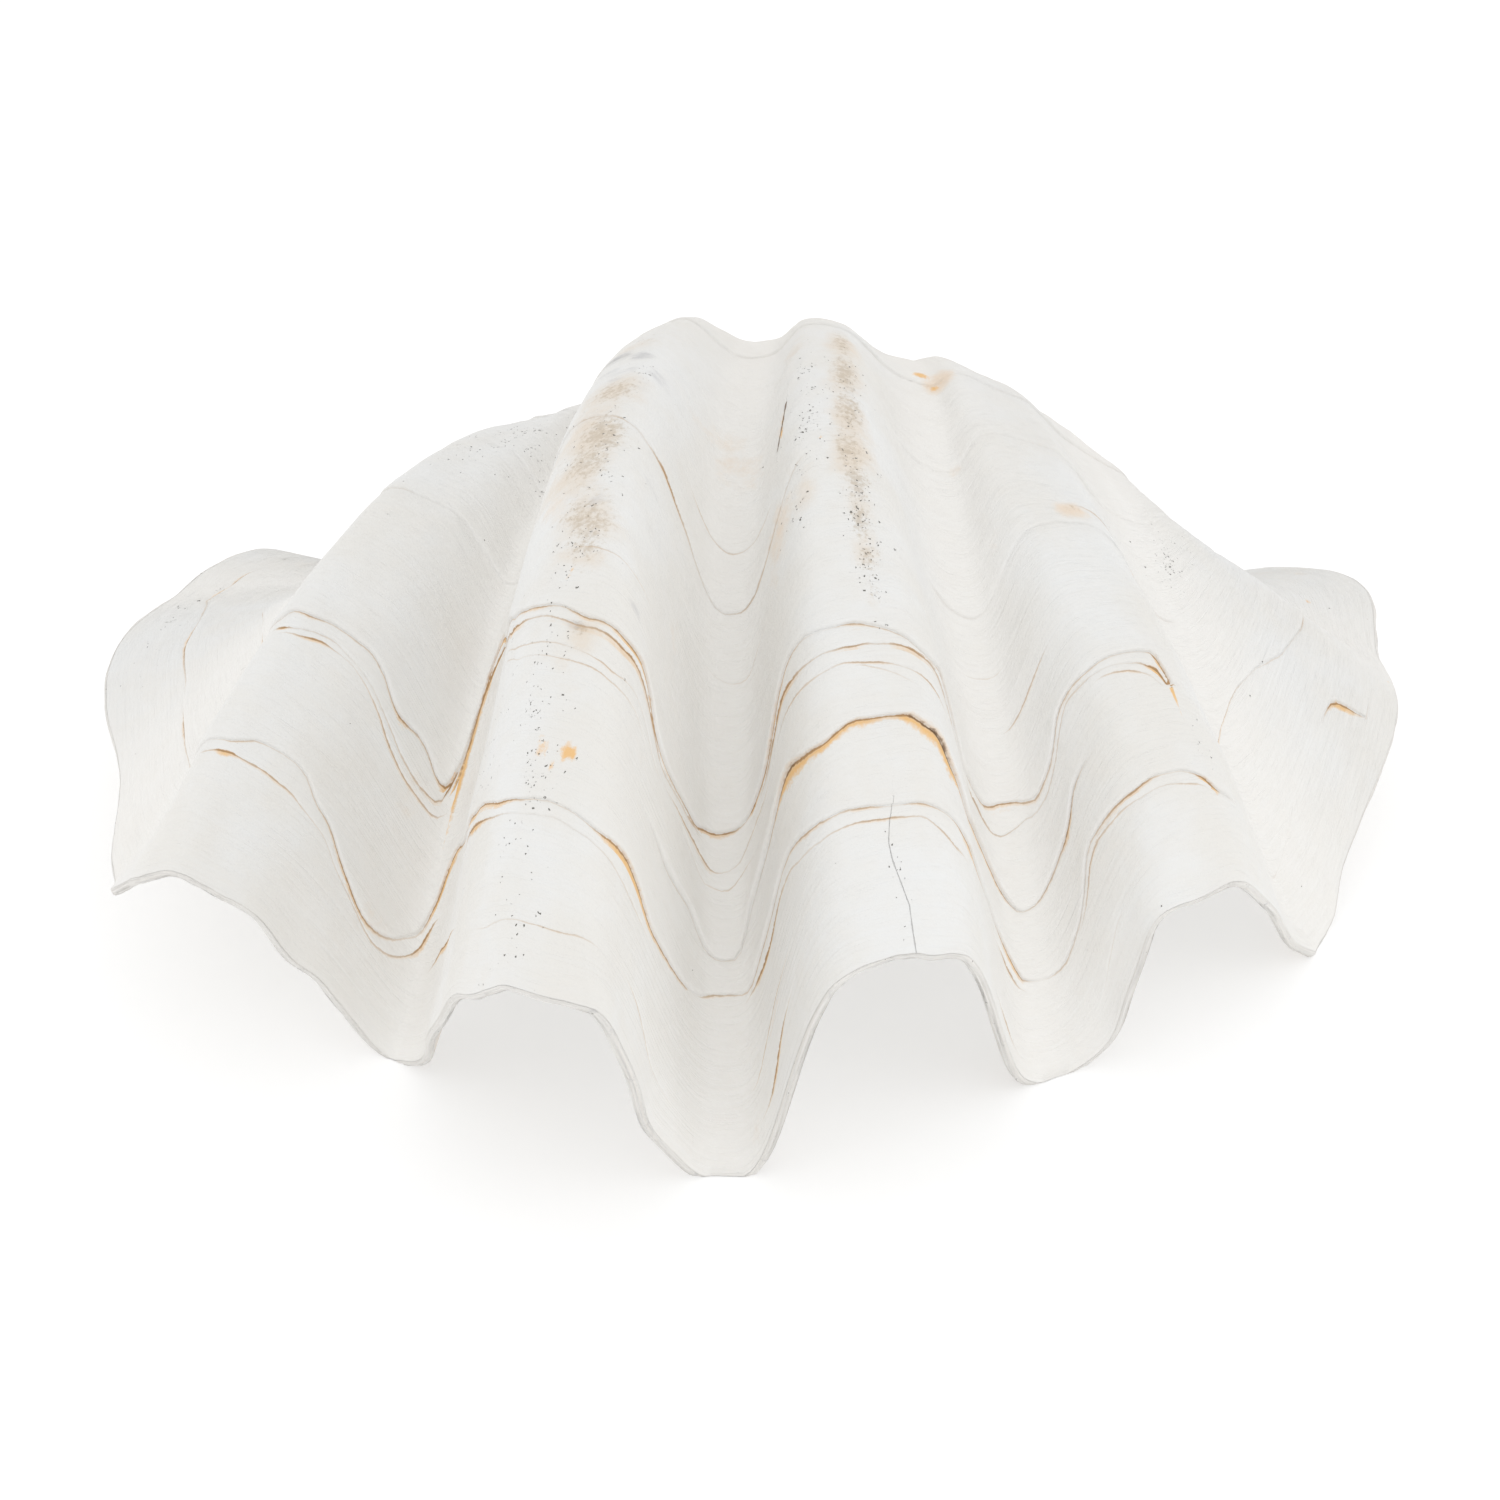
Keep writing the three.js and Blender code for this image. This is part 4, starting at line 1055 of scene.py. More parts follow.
def grow_valve(form):
    """The whole valve as one closed surface: outer face, rim, hinge plate, inner face."""
    surface = Surface()
    outer_edge = outer_part(surface, form)
    inner_edge = inner_part(surface, form)
    start = np.concatenate(surface.points)[outer_edge.numbers]
    rings = [outer_edge.numbers, *rim_rings(surface, start, outer_edge, form)]
    closed = np.stack([np.append(ring, ring[0]) for ring in rings])
    surface.quads(closed, flip=True)
    surface.join(rings[-1], outer_edge.at, inner_edge.numbers, inner_edge.at)
    return surface


def outer_part(surface, form):
    """Adds the outer face and its cap at the beak, and returns its edge."""
    drawn = [tuple(zip(*LEDGES[number].path)) for number in STRONG_LINES]
    columns = even_places(OUTER_COLUMNS, [EVEN_LINE, *drawn])
    ages = outer_ages(columns)
    place = np.broadcast_to(columns, ages.shape)
    points, growth, seam, ink = outer_face(place, ages, form)
    tip = BEAK + np.array([BEAK_LEAN["by"], 0, 0])
    shares = (np.arange(1, CAP_ROWS) / CAP_ROWS)[:, None, None]
    cap = points[-1] + (tip - points[-1]) * shares
    marks = outer_marks(place, ages, growth, seam, ink)
    grid = surface.add(points, OUTSIDE, (place / PLACES, ages / AGE_SPAN), **marks)
    cap_uv = (columns / PLACES, OUTER_END_AGE / AGE_SPAN + CAP_V * shares[..., 0])
    cap_grid = surface.add(cap, OUTSIDE, cap_uv, old=1.0)
    tip_number = surface.add(tip[None], OUTSIDE, TIP_UV, old=1.0)[0]
    grid = np.concatenate([grid, cap_grid])
    cap_ages = OUTER_END_AGE + CAP_AGE * np.broadcast_to(shares[..., 0], cap.shape[:-1])
    ages = np.concatenate([ages, cap_ages])
    surface.quads(grid)
    surface.fan(grid[-1], tip_number)
    return edge_of(grid, tip_number, columns, size_at(np.zeros_like(ages), ages, OUTER_CURL))


def inner_part(surface, form):
    """Adds the inner face, closed at its pole, and returns its edge."""
    columns = even_places(INNER_COLUMNS, [EVEN_LINE])
    steps = (np.arange(INNER_ROWS + 1) / INNER_ROWS) ** INNER_ROW_CROWDING
    ages = np.repeat(INNER_END_AGE * steps[:, None], len(columns), axis=1)
    place = np.broadcast_to(columns, ages.shape)
    points = inner_face(place, ages, form)
    grid = surface.add(points, INSIDE, (place / PLACES, ages / AGE_SPAN),
                       scar=muscle_scar(place, ages), near_rim=1 - ramp(ages, 0.0, NEAR_RIM_AGE),
                       mantle=bell(ages, PALLIAL["age"], PALLIAL["stain_half_age"]))
    tip = surface.add(INNER_POLE[None], INSIDE, TIP_UV)[0]
    surface.quads(grid, flip=True)
    surface.fan(grid[-1], tip, flip=True)
    sizes = size_at(np.zeros_like(ages), ages, INNER_CURL, INNER_SHRINK_EASE)
    return edge_of(grid, tip, columns, sizes)


def settle(points):
    """Moves the valve from the growth frame into the part's: worn flat on the ground, its
    plan centred as the part's is, and nothing outside the part's box."""
    low, high = (np.array(corner) for corner in CAD_BOX)
    points = points - np.array([0, 0, GROUND_WEAR])
    middle = (points.min(axis=0) + points.max(axis=0)) / 2
    points[:, :2] += ((low + high) / 2 - middle)[:2]
    return np.clip(points, low, high)


def joined(points, faces):
    """Numbers of the points that are kept, one for each place, and the faces between them,
    without those that have shrunk to a line."""
    _, kept, numbers = np.unique(points, axis=0, return_index=True, return_inverse=True)
    faces = numbers.ravel()[faces]
    a, b, c = faces.T
    return kept, faces[(a != b) & (b != c) & (c != a)]


def mesh_from(name, surface, materials):
    """Mesh of a surface, its marks as attributes and its growth numbers as a UV map."""
    points = settle(np.concatenate(surface.points)).astype(np.float32)
    kept, faces = joined(points, np.concatenate(surface.faces))
    mesh = bpy.data.meshes.new(name)
    mesh.vertices.add(len(kept))
    mesh.vertices.foreach_set("co", points[kept].ravel())
    mesh.loops.add(faces.size)
    mesh.loops.foreach_set("vertex_index", faces.astype(np.int32).ravel())
    mesh.polygons.add(len(faces))
    mesh.polygons.foreach_set("loop_start", np.arange(0, faces.size, 3, dtype=np.int32))
    for key in sorted(set().union(*surface.marks) - {"u", "v", "part"}):
        values = surface.mark(key, ABSENT_MARKS.get(key, 0.0))[kept]
        attribute = mesh.attributes.new(key, "FLOAT", "POINT")
        attribute.data.foreach_set("value", values.astype(np.float32))
    uv = np.stack([surface.mark("u"), surface.mark("v")], -1)[kept]
    layer = mesh.uv_layers.new(name="growth")
    layer.data.foreach_set("uv", uv[faces.ravel()].astype(np.float32).ravel())
    for material in materials:
        mesh.materials.append(material)
    part = surface.mark("part")[kept][faces].max(axis=1)
    mesh.polygons.foreach_set("material_index", part.astype(np.int32))
    mesh.update(calc_edges=True)
    mesh.validate()
    mesh.shade_smooth()
    return mesh


class Tree:
    """Short forms for building a node tree."""

    def __init__(self, tree):
        self.tree = tree

    def put(self, socket, value):
        """Links a socket, or sets a plain value."""
        if isinstance(value, bpy.types.NodeSocket):
            self.tree.links.new(value, socket)
        else:
            socket.default_value = value

    def node(self, kind, inputs=None, **settings):
        """Adds a node, with settings on the node and values or links on its inputs."""
        made = self.tree.nodes.new(kind)
        for key, value in settings.items():
            setattr(made, key, value)
        for key, value in (inputs or {}).items():
            self.put(made.inputs[key], value)
        return made

    def math(self, operation, first, second=0.0, third=0.0):
        """One sum of two or three values."""
        inputs = {0: first, 1: second, 2: third}
        return self.node("ShaderNodeMath", inputs, operation=operation).outputs[0]

    def times(self, first, second):
        """Two values multiplied."""
        return self.math("MULTIPLY", first, second)

    def rise(self, value, low=0.0, high=1.0, start=0.0, end=1.0):
        """Eased rise from start at low to end at high."""
        inputs = {"Value": value, "From Min": low, "From Max": high,
                  "To Min": start, "To Max": end}
        made = self.node("ShaderNodeMapRange", inputs, interpolation_type="SMOOTHSTEP")
        return made.outputs[0]

    def mix(self, share, first, second):
        """Two colours mixed. The colour sockets of a mix node are its inputs 6 and 7 and its
        output 2."""
        inputs = {0: share, 6: first, 7: second}
        return self.node("ShaderNodeMix", inputs, data_type="RGBA").outputs[2]

    def mark(self, name):
        """One of the piece's own attributes."""
        made = self.node("ShaderNodeAttribute", attribute_name=name, attribute_type="GEOMETRY")
        return made.outputs["Fac"]

    def vector(self, operation, first, second):
        """Vector made from another one and a second one, or a scale."""
        inputs = {0: first, "Scale" if operation == "SCALE" else 1: second}
        return self.node("ShaderNodeVectorMath", inputs, operation=operation).outputs[0]

    def noise(self, vector, scale, detail=2.0, roughness=0.55, **settings):
        """Noise from 0 to 1."""
        inputs = {"Vector": vector, "Scale": scale, "Detail": detail, "Roughness": roughness}
        made = self.node("ShaderNodeTexNoise", inputs, **settings)
        return made.outputs[0]


SOCKET_KINDS = {"Vector": "NodeSocketVector", "Color": "NodeSocketColor",
                "Stain": "NodeSocketColor"}


def new_group(name, inputs, output="Mask"):
    """Empty shader node group with named sockets, and its one output."""
    tree = bpy.data.node_groups.new(name, "ShaderNodeTree")
    for socket in inputs:
        kind = SOCKET_KINDS.get(socket, "NodeSocketFloat")
        tree.interface.new_socket(socket, in_out="INPUT", socket_type=kind)
    kind = SOCKET_KINDS.get(output, "NodeSocketFloat")
    tree.interface.new_socket(output, in_out="OUTPUT", socket_type=kind)
    given = tree.nodes.new("NodeGroupInput").outputs
    made = tree.nodes.new("NodeGroupOutput").inputs
    return Tree(tree), given, made[output]


def striae_group():
    """Fine growth lines: noise drawn out along the margin, at two sizes."""
    tree, given, made = new_group("Growth striae", ("Vector", "Lines"), "Height")
    split = tree.node("ShaderNodeSeparateXYZ", {0: given["Vector"]})
    layers = []
    for per_margin, line_share, weight in STRIAE:
        across = tree.times(split.outputs[0], per_margin)
        along = tree.times(split.outputs[1], tree.times(given["Lines"], line_share))
        vector = tree.node("ShaderNodeCombineXYZ", {0: across, 1: along, 2: 0.0}).outputs[0]
        layers.append(tree.times(tree.noise(vector, 1.0, noise_dimensions="2D"), weight))
    tree.put(made, tree.math("ADD", *layers))
    return tree.tree


def mottle_group():
    """Soft patches: noise cut between two levels."""
    tree, given, made = new_group("Mottle", ("Vector", "Scale", "Low", "High"))
    noise = tree.noise(given["Vector"], given["Scale"], detail=4.0, roughness=0.6)
    tree.put(made, tree.rise(noise, given["Low"], given["High"]))
    return tree.tree


def speck_group():
    """Scattered dots in clusters: small balls in some cells of a chance lattice."""
    tree, given, made = new_group("Specks", ("Vector", "Scale", "Radius", "Share"))
    where = given["Vector"]
    warp = tree.node("ShaderNodeTexNoise", {"Vector": where, "Scale": given["Scale"]})
    bend = tree.vector("SCALE", warp.outputs["Color"], SPECKS["warp"])
    place = tree.vector("ADD", where, bend)
    cells = tree.node("ShaderNodeTexVoronoi", {"Vector": place, "Scale": given["Scale"]})
    split = tree.node("ShaderNodeSeparateColor", {0: cells.outputs["Color"]})
    radius = tree.times(given["Radius"], tree.rise(split.outputs[1], start=SPECKS["smallest"]))
    inner = tree.times(radius, SPECKS["core"])
    dot = tree.rise(cells.outputs["Distance"], inner, radius, 1.0, 0.0)
    crowd = tree.rise(tree.noise(where, SPECKS["crowds"]), *SPECKS["crowd"], SPECKS["sparse"])
    kept = tree.math("LESS_THAN", split.outputs[0], tree.times(given["Share"], crowd))
    tree.put(made, tree.times(dot, kept))
    return tree.tree


def line_group():
    """Thin line: 1 on a signed distance of zero, 0 past a width that noise varies."""
    tree, given, made = new_group("Thin line", ("Distance", "Width", "Vector"))
    rough = tree.noise(given["Vector"], THIN_LINE["noise"])
    varied = tree.rise(rough, *THIN_LINE["levels"], *THIN_LINE["widths"])
    width = tree.times(given["Width"], varied)
    away = tree.math("ABSOLUTE", given["Distance"])
    tree.put(made, tree.rise(away, tree.times(width, THIN_LINE["core"]), width, 1.0, 0.0))
    return tree.tree


def seam_group():
    """Band beside a growth line: 1 within a half width that noise varies, about a signed
    distance that noise bends, moved to the younger side by a share of the half width. It
    is 0 where the distance only changes sign between two lines: there the nearness, which
    has no sign, stays larger than the distance."""
    tree, given, made = new_group(
        "Growth line", ("Distance", "Near", "Half", "Shift", "Core", "Rough", "Vector"))
    bend = tree.noise(given["Vector"], SEAM["bend_noise"])
    fine = tree.noise(given["Vector"], SEAM["width_noise"])
    low = tree.math("SUBTRACT", 1.0, given["Rough"])
    high = tree.math("ADD", 1.0, given["Rough"])
    half = tree.times(given["Half"], tree.rise(fine, *SEAM["width_levels"], low, high))
    away = tree.math("SUBTRACT", given["Distance"], SEAM["bend"] / 2)
    away = tree.math("MULTIPLY_ADD", bend, SEAM["bend"], away)
    away = tree.math("ABSOLUTE", tree.math("MULTIPLY_ADD", half, given["Shift"], away))
    band = tree.rise(away, tree.times(half, given["Core"]), half, 1.0, 0.0)
    apart = tree.math("SUBTRACT", given["Near"], tree.math("ABSOLUTE", given["Distance"]))
    true_side = tree.rise(apart, *SEAM["apart"], 1.0, 0.0)
    tree.put(made, tree.times(band, true_side))
    return tree.tree


def stain_group():
    """Stain: a colour laid on where a mask is strong enough for a fractal noise, so that it
    breaks up into blotches."""
    tree, given, made = new_group("Stain", ("Color", "Stain", "Mask", "Vector", "Grain",
                                            "Softness", "Strength"), "Color")
    broad = tree.noise(given["Vector"], given["Grain"], detail=6.0, roughness=0.7)
    eaten = tree.times(given["Mask"], STAIN_LEVEL["by_mask"])
    level = tree.math("SUBTRACT", STAIN_LEVEL["none"], eaten)
    share = tree.rise(tree.math("ADD", broad, STAIN_LEVEL["lift"]), level,
                      tree.math("ADD", level, given["Softness"]))
    share = tree.times(share, given["Strength"])
    tree.put(made, tree.mix(share, given["Color"], given["Stain"]))
    return tree.tree


GROUPS = {"striae": striae_group, "mottle": mottle_group, "specks": speck_group,
          "line": line_group, "seam": seam_group, "stain": stain_group}


def opaque(colour):
    """Colour with full alpha."""
    return (*colour, 1.0)


def new_material(name):
    """Material with its node tree and its principled shader."""
    material = bpy.data.materials.new(name)
    material.use_nodes = True
    return material, Tree(material.node_tree), material.node_tree.nodes["Principled BSDF"]


class Paint:
    """A material's colour, built up in layers from the base up."""

    def __init__(self, name, base, groups, colours):
        self.material, self.tree, self.shader = new_material(name)
        self.groups = groups
        self.colours = colours
        self.where = self.tree.node("ShaderNodeTexCoord").outputs["Object"]
        self.growth = self.tree.node("ShaderNodeUVMap", uv_map="growth").outputs[0]
        self.colour = self.shade(base)

    def shade(self, name):
        """One of the shell's colours."""
        return opaque(getattr(self.colours, name))

    def pattern(self, kind, vector=None, **given):
        """What a node group gives. Its inputs go by their sockets' names in small letters."""
        made = self.tree.node("ShaderNodeGroup", node_tree=self.groups[kind])
        self.tree.put(made.inputs["Vector"], self.where if vector is None else vector)
        for name, value in given.items():
            self.tree.put(made.inputs[name.capitalize()], value)
        return made.outputs[0]

    def lay(self, colour, share, strength=1.0):
        """Lays a colour over what is there, by a share and its strength."""
        if strength != 1.0:
            share = self.tree.times(share, strength)
        self.colour = self.tree.mix(share, self.colour, self.shade(colour))

    def stain(self, colour, mask, vector=None, **given):
        """Lays a colour on as a stain."""
        self.colour = self.pattern("stain", vector, color=self.colour, mask=mask,
                                   stain=self.shade(colour), **given)

    def finish(self, roughness, bumps):
        """Gives the shader its colour, its roughness and its bumps, each a height and its
        depth, and returns the material."""
        self.tree.put(self.shader.inputs["Base Color"], self.colour)
        self.tree.put(self.shader.inputs["Roughness"], roughness)
        normal = None
        for height, depth in bumps:
            bump = self.tree.node("ShaderNodeBump",
                                  {"Strength": 1.0, "Distance": depth, "Height": height})
            if normal is not None:
                self.tree.put(bump.inputs["Normal"], normal)
            normal = bump.outputs[0]
        self.tree.put(self.shader.inputs["Normal"], normal)
        return self.material


def draw_seams(paint):
    """Draws the growth lines in: a faint line, ochre where there is more ink and umber where
    it is deepest, and ochre spread over the younger shell below it."""
    tree = paint.tree
    ink = tree.mark("ink")
    signs = {"distance": tree.mark("past"), "near": tree.mark("seam")}
    spread = tree.math("MULTIPLY_ADD", ink, *HALO_HALF)
    spread = tree.math("MAXIMUM", spread, LEAST_HALO_HALF)
    halo = paint.pattern("seam", **signs, half=spread, shift=0.45, core=0.0, rough=0.25)
    paint.lay("halo", tree.times(halo, tree.rise(ink, *HALO_INK, end=SEAM_STRENGTH)))
    half = tree.math("MULTIPLY_ADD", ink, *LINE_HALF)
    line = paint.pattern("seam", **signs, half=half, shift=0.0, core=0.3, rough=0.4)
    tone = tree.mix(tree.rise(ink, *OCHRE_INK), paint.shade("faint"), paint.shade("ochre"))
    tone = tree.mix(tree.rise(ink, *UMBER_INK), tone, paint.shade("umber"))
    share = tree.times(line, tree.rise(ink, *LINE_INK, end=SEAM_STRENGTH))
    paint.colour = tree.mix(share, paint.colour, tone)


def outer_material(groups, colours):
    """Matte outer shell: white, furrows painted paler against their shade, ochre crevices,
    stains, specks.
    """
    paint = Paint("shell_outside", "white", groups, colours)
    tree = paint.tree
    striae = paint.pattern("striae", paint.growth, lines=620.0)
    cloud = paint.pattern("mottle", scale=14.0, low=0.35, high=0.65)
    fine = paint.pattern("mottle", scale=90.0, low=0.35, high=0.75)
    paint.lay("cool", cloud)
    # Painted light: the furrows are painted paler to offset the shade that falls in them
    paint.lay("pale", tree.mark("furrow"))
    paint.lay("cream", tree.mark("old"), strength=0.4)
    paint.lay("cream", tree.rise(striae, low=0.3, high=0.62, end=0.1))
    paint.lay("cream", fine, strength=0.1)
    streaked = tree.vector("MULTIPLY", paint.growth, STREAKS)
    for mark, grain, softness, strength, cover, drawn_out in STAIN_LAYERS:
        paint.stain(STAIN_COLOURS.get(mark, mark), tree.times(tree.mark(mark), cover),
                    streaked if drawn_out else paint.where,
                    grain=grain, softness=softness, strength=strength)
    draw_seams(paint)
    specks = paint.pattern("specks", scale=620.0, radius=0.36, share=tree.mark("speck"))
    stray = paint.pattern("specks", scale=130.0, radius=0.07, share=0.06)
    pits = tree.math("MAXIMUM", specks, stray)
    paint.lay("speck", pits, strength=0.92)
    for mark, colour, strength in CRACK_LAYERS:
        crack = paint.pattern("line", distance=tree.mark(mark), width=1.2)
        paint.lay(colour, crack, strength)
        pits = tree.math("MAXIMUM", pits, crack)
    level = tree.math("SUBTRACT", 1.0, pits)
    grain = tree.noise(paint.where, scale=900.0)
    paint.shader.inputs["Specular IOR Level"].default_value = 0.35
    return paint.finish(tree.rise(cloud, start=0.52, end=0.66),
                        [(striae, 0.0005), (fine, 0.0002), (level, 0.0005), (grain, 0.00012)])


def inner_material(groups, colours):
    """Smooth inside: porcelain white, cream in the muscle scar, brown in the ligament pit."""
    paint = Paint("shell_inside", "porcelain", groups, colours)
    tree = paint.tree
    striae = paint.pattern("striae", paint.growth, lines=240.0)
    cloud = paint.pattern("mottle", scale=9.0, low=0.3, high=0.7)
    paint.lay("white", cloud)
    paint.lay("cream", tree.mark("scar"), strength=0.6)
    paint.lay("cream", tree.mark("mantle"), strength=0.5)
    paint.stain("blush", tree.mark("near_rim"), grain=25.0, softness=0.5, strength=0.5)
    paint.lay("cream", tree.times(tree.mark("plate"), tree.rise(striae, low=0.35, high=0.6)))
    paint.stain("umber", tree.mark("ligament"), grain=240.0, softness=0.2, strength=0.8)
    specks = paint.pattern("specks", scale=60.0, radius=0.06, share=0.06)
    paint.lay("speck", specks, strength=0.6)
    return paint.finish(tree.rise(cloud, start=0.28, end=0.42),
                        [(striae, 0.0003), (cloud, 0.0006)])


def rim_material(groups, colours):
    """Chalky rim: worn edge of thin pale and cream layers, with a little grey dirt and specks.
    The pale base is painted light, lighter than the shell to offset the shade on the down-facing
    lip."""
    # Painted light: the pale base makes the lip lighter to offset the shade that falls on it
    paint = Paint("shell_rim", "pale", groups, colours)
    tree = paint.tree
    layers = paint.pattern("striae", paint.growth, lines=2600.0)
    dirt = paint.pattern("mottle", scale=120.0, low=0.5, high=0.72)
    paint.lay("cream", tree.rise(layers, low=0.35, high=0.65, end=0.5))
    paint.stain("grey", tree.times(dirt, 0.7), grain=300.0, softness=0.3, strength=0.3)
    specks = paint.pattern("specks", scale=420.0, radius=0.24, share=0.16)
    paint.lay("speck", specks, strength=0.65)
    return paint.finish(tree.rise(dirt, start=0.62, end=0.78),
                        [(layers, 0.0005), (dirt, 0.0003)])


def floor_material(studio):
    """Plain pale floor that gives back part of its own light, for soft light shadows."""
    material, tree, shader = new_material("floor_pale")
    looks = {"Base Color": opaque(studio.floor_colour), "Roughness": 0.9,
             "Specular IOR Level": 0.0, "Emission Color": opaque(studio.floor_light),
             "Emission Strength": studio.floor_glow}
    for name, value in looks.items():
        tree.put(shader.inputs[name], value)
    return material


def colour_property(name, description, default):
    """Colour with its name and default."""
    return FloatVectorProperty(name=name, description=description, subtype="COLOR", size=3,
                               min=0.0, max=1.0, default=default)


class ClamForm(PropertyGroup):
    """Sizes that shape the valve."""
    rim_thickness: FloatProperty(
        name="Rim thickness", description="Thickness of the shell at its margin",
        default=0.0045, min=0.003, max=0.012, unit="LENGTH")
    ledge_scale: FloatProperty(
        name="Ledge height", description="Height of the growth ledges against the real ones",
        default=1.0, min=0.0, max=2.0, subtype="FACTOR")
    swell: FloatProperty(
        name="Swell", description="Depth of the slow unevenness of the surface",
        default=0.0006, min=0.0, max=0.003, unit="LENGTH")


class ClamColours(PropertyGroup):
    """Colours of the shell and its stains."""
    white: colour_property("White", "Main colour of the shell", (0.785, 0.773, 0.742))
    cool: colour_property("Cool white", "Patches of cleaner shell", (0.805, 0.81, 0.805))
    pale: colour_property("Pale", "Furrows, less weathered", (0.86, 0.848, 0.822))
    # Painted light: pale paints the furrows and the rim lighter, to offset the shade that falls
    # there
    cream: colour_property("Cream", "Older shell and fine lines", (0.80, 0.75, 0.68))
    porcelain: colour_property("Porcelain", "Smooth inside", (0.90, 0.89, 0.865))
    beige: colour_property("Beige", "Broad worn patches", (0.76, 0.665, 0.555))
    blush: colour_property("Blush", "Faint orange-pink stains", (0.82, 0.69, 0.56))
    tan: colour_property("Tan", "Grains in the worn patches", (0.50, 0.41, 0.30))
    grey: colour_property("Grey", "Bluish-grey stains", (0.44, 0.44, 0.46))
    amber: colour_property("Amber", "Small orange spots", (0.85, 0.47, 0.12))
    halo: colour_property("Halo", "Ochre that has spread beside crevices", (0.83, 0.51, 0.20))
    faint: colour_property("Faint line", "Weakest growth lines", (0.62, 0.50, 0.38))
    ochre: colour_property("Ochre", "Crevices under the ledges", (0.42, 0.24, 0.10))
    umber: colour_property("Umber", "Deepest crevices and cracks", (0.16, 0.085, 0.035))
    speck: colour_property("Speck", "Dark specks", (0.14, 0.13, 0.11))


class ClamStudio(PropertyGroup):
    """Light and floor of the studio."""
    sky: FloatProperty(name="Sky", description="Strength of the even light from all round",
                       default=0.98, min=0.0, max=5.0)
    right_power: FloatProperty(name="Right light", description="Power of the light on the right",
                               default=4.3, min=0.0, max=500.0, subtype="POWER", unit="POWER")
    left_power: FloatProperty(name="Left light", description="Power of the light on the left",
                              default=3.3, min=0.0, max=500.0, subtype="POWER", unit="POWER")
    floor_glow: FloatProperty(name="Floor glow", description="Light given back by the floor",
                              default=1.0, min=0.0, max=2.0)
    floor_colour: colour_property("Floor", "Colour of the floor", (0.66, 0.66, 0.66))
    floor_light: colour_property("Floor light", "Light of the floor", (0.42, 0.42, 0.42))


def add_object(name, data):
    """New object at the origin, in place of an old one of that name."""
    old = bpy.data.objects.get(name)
    if old is not None:
        bpy.data.objects.remove(old)
    made = bpy.data.objects.new(name, data)
    bpy.context.scene.collection.objects.link(made)
    return made


class CLAM_OT_build_valve(Operator):
    """Build the valve: outer face, rim, hinge plate and inner face as one closed surface"""
    bl_idname = "clam.build_valve"
    bl_label = "Build Valve"

    def execute(self, context):
        groups = {name: build() for name, build in GROUPS.items()}
        colours = context.scene.clam_colours
        materials = [build(groups, colours)
                     for build in (outer_material, rim_material, inner_material)]
        mesh = mesh_from("valve_shell", grow_valve(context.scene.clam_form), materials)
        if len(mesh.polygons) == 0:
            raise RuntimeError("the valve has no faces")
        valve = add_object("valve_shell", mesh)
        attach(valve, "root")
        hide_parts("valve")
        return {"FINISHED"}


class CLAM_OT_build_stage(Operator):
    """Build the stage: pale floor, soft lights and the camera"""
    bl_idname = "clam.build_stage"
    bl_label = "Build Stage"

    def execute(self, context):
        studio = context.scene.clam_studio
        build_floor(studio)
        build_lights(context.scene, studio)
        build_camera(context.scene)
        return {"FINISHED"}


def build_floor(studio):
    """Flat square of floor just under the part."""
    low = CAD_BOX[0].z - FLOOR_GAP
    corners = [(x * FLOOR_HALF, y * FLOOR_HALF, low)
               for x, y in ((-1, -1), (1, -1), (1, 1), (-1, 1))]
    mesh = bpy.data.meshes.new("floor")
    mesh.from_pydata(corners, [], [(0, 1, 2, 3)])
    mesh.materials.append(floor_material(studio))
    add_object("floor", mesh)


def aim(thing, place, towards):
    """Puts a light or camera in its place, looking along a direction."""
    thing.location = place
    thing.rotation_mode = "QUATERNION"
    thing.rotation_quaternion = towards.to_track_quat("-Z", "Y")


def add_light(name, place, power):
    """Square soft light that looks at the shell."""
    data = bpy.data.lights.new(name, "AREA")
    data.shape = "SQUARE"
    data.size = LIGHT_SIZE
    data.energy = power
    aim(add_object(name, data), place, -Vector(place))


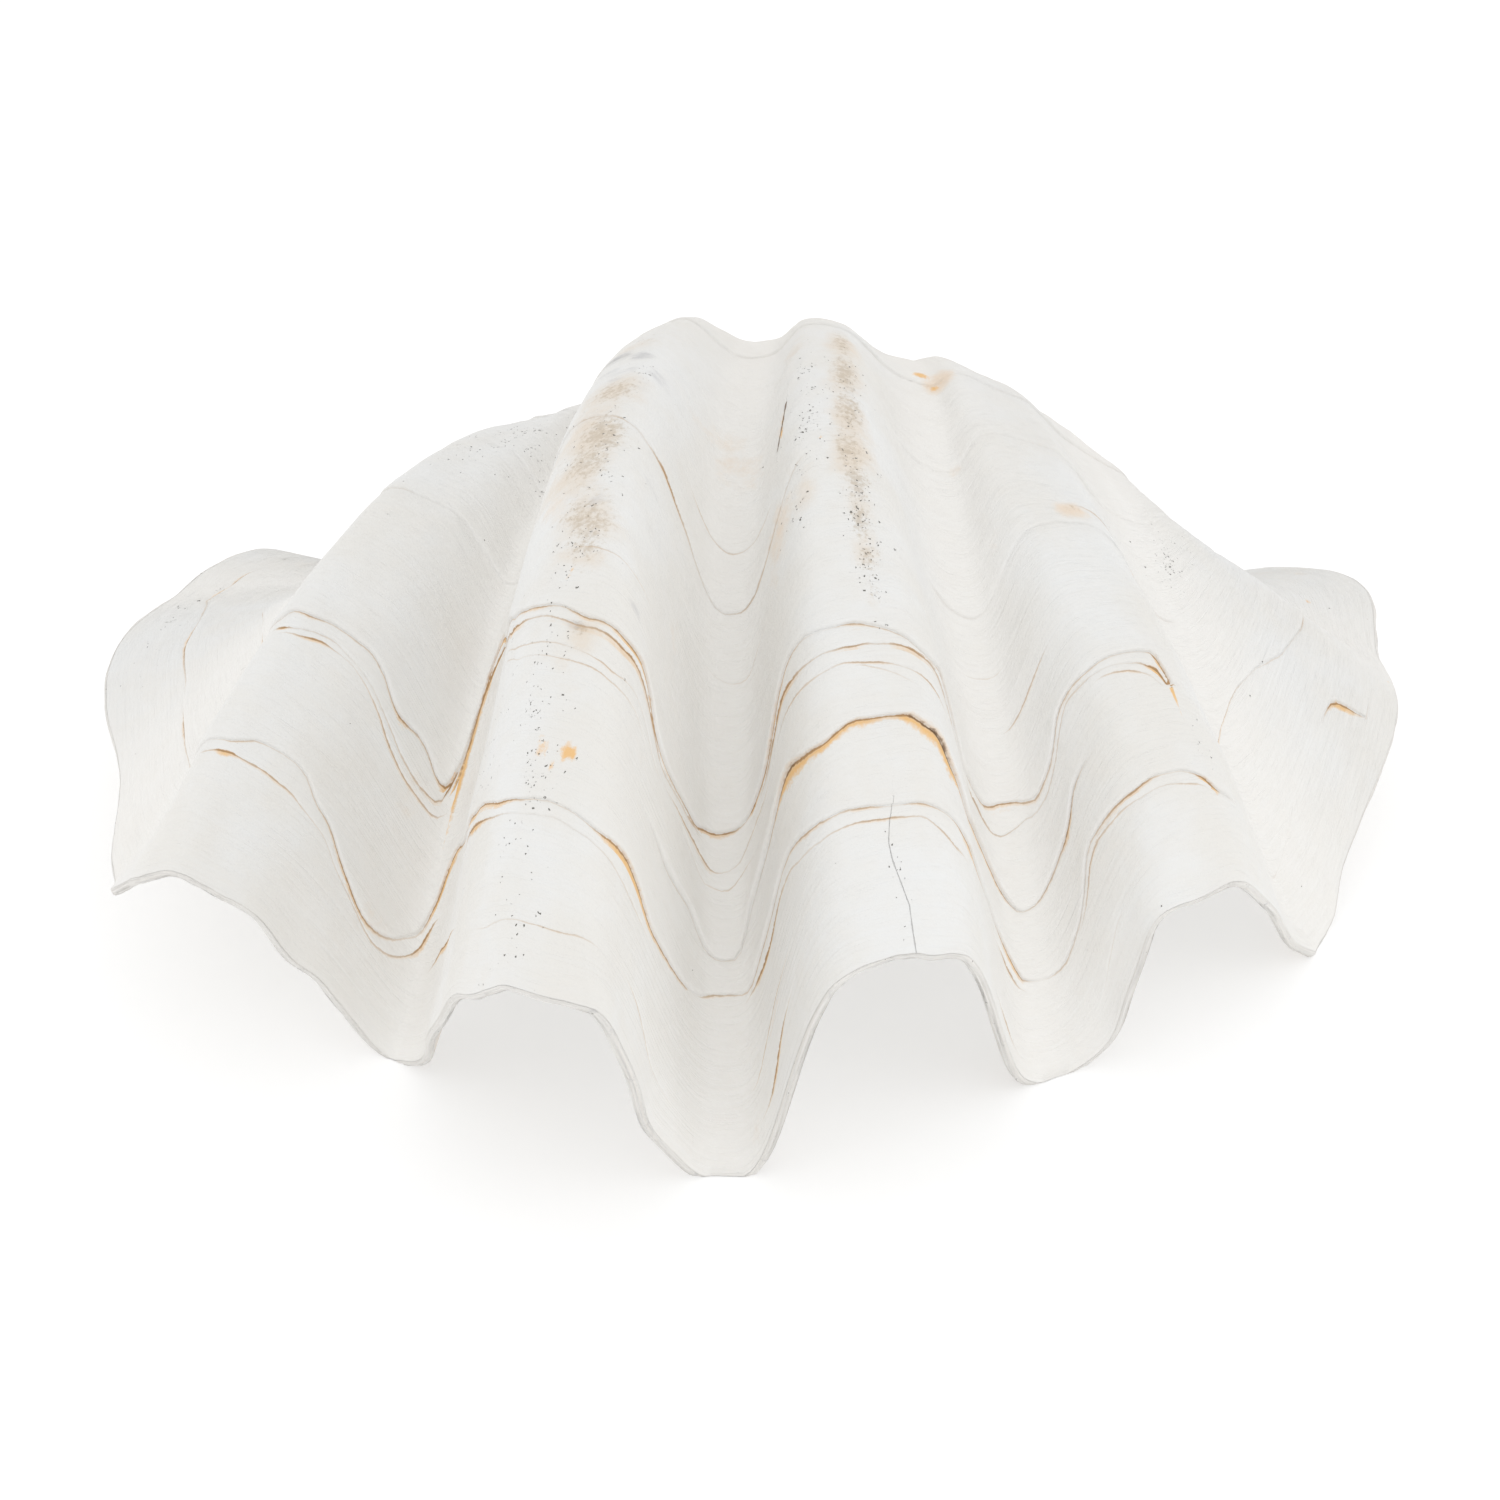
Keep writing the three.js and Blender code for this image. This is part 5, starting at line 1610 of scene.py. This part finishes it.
def build_lights(scene, studio):
    """Even white sky, and a soft light on each side in front of the shell."""
    world = bpy.data.worlds.new("studio")
    world.use_nodes = True
    background = world.node_tree.nodes["Background"]
    background.inputs["Color"].default_value = opaque((1.0, 1.0, 1.0))
    background.inputs["Strength"].default_value = studio.sky
    scene.world = world
    for side, place in LIGHT_PLACES.items():
        add_light(f"{side}_light", place, getattr(studio, f"{side}_power"))
    scene.view_settings.view_transform = "Standard"


def build_camera(scene):
    """Camera in front of the margin, looking down on the shell."""
    data = bpy.data.cameras.new("camera")
    data.sensor_width = SENSOR_WIDTH
    data.lens = SENSOR_WIDTH * FOCAL_PIXELS / PHOTO_SIDE
    camera = add_object("camera", data)
    away = Vector((0, -cos(CAMERA_ELEVATION), sin(CAMERA_ELEVATION)))
    aim(camera, LOOK_AT + away * CAMERA_DISTANCE, -away)
    scene.camera = camera


class CLAM_PT_shell(Panel):
    """Sidebar panel that lists the sizes, the colours and the operators"""
    bl_label = "Clam Shell"
    bl_space_type = "VIEW_3D"
    bl_region_type = "UI"
    bl_category = "Clam Shell"

    def draw(self, context):
        for settings in ("clam_form", "clam_colours", "clam_studio"):
            group = getattr(context.scene, settings)
            column = self.layout.column(align=True)
            for name in group.__annotations__:
                column.prop(group, name)
        self.layout.operator(CLAM_OT_build_valve.bl_idname)
        self.layout.operator(CLAM_OT_build_stage.bl_idname)


CLASSES = (ClamForm, ClamColours, ClamStudio, CLAM_OT_build_valve, CLAM_OT_build_stage,
           CLAM_PT_shell)
SETTINGS = {"clam_form": ClamForm, "clam_colours": ClamColours, "clam_studio": ClamStudio}


def register():
    """Registers the classes and the scene's settings."""
    for kind in CLASSES:
        bpy.utils.register_class(kind)
    for name, kind in SETTINGS.items():
        setattr(bpy.types.Scene, name, PointerProperty(type=kind))


def unregister():
    """Removes what register added."""
    for name in SETTINGS:
        delattr(bpy.types.Scene, name)
    for kind in reversed(CLASSES):
        bpy.utils.unregister_class(kind)


def main():
    """Builds the valve and the stage."""
    register()
    bpy.ops.clam.build_valve()
    bpy.ops.clam.build_stage()


if __name__ == "__main__":
    main()
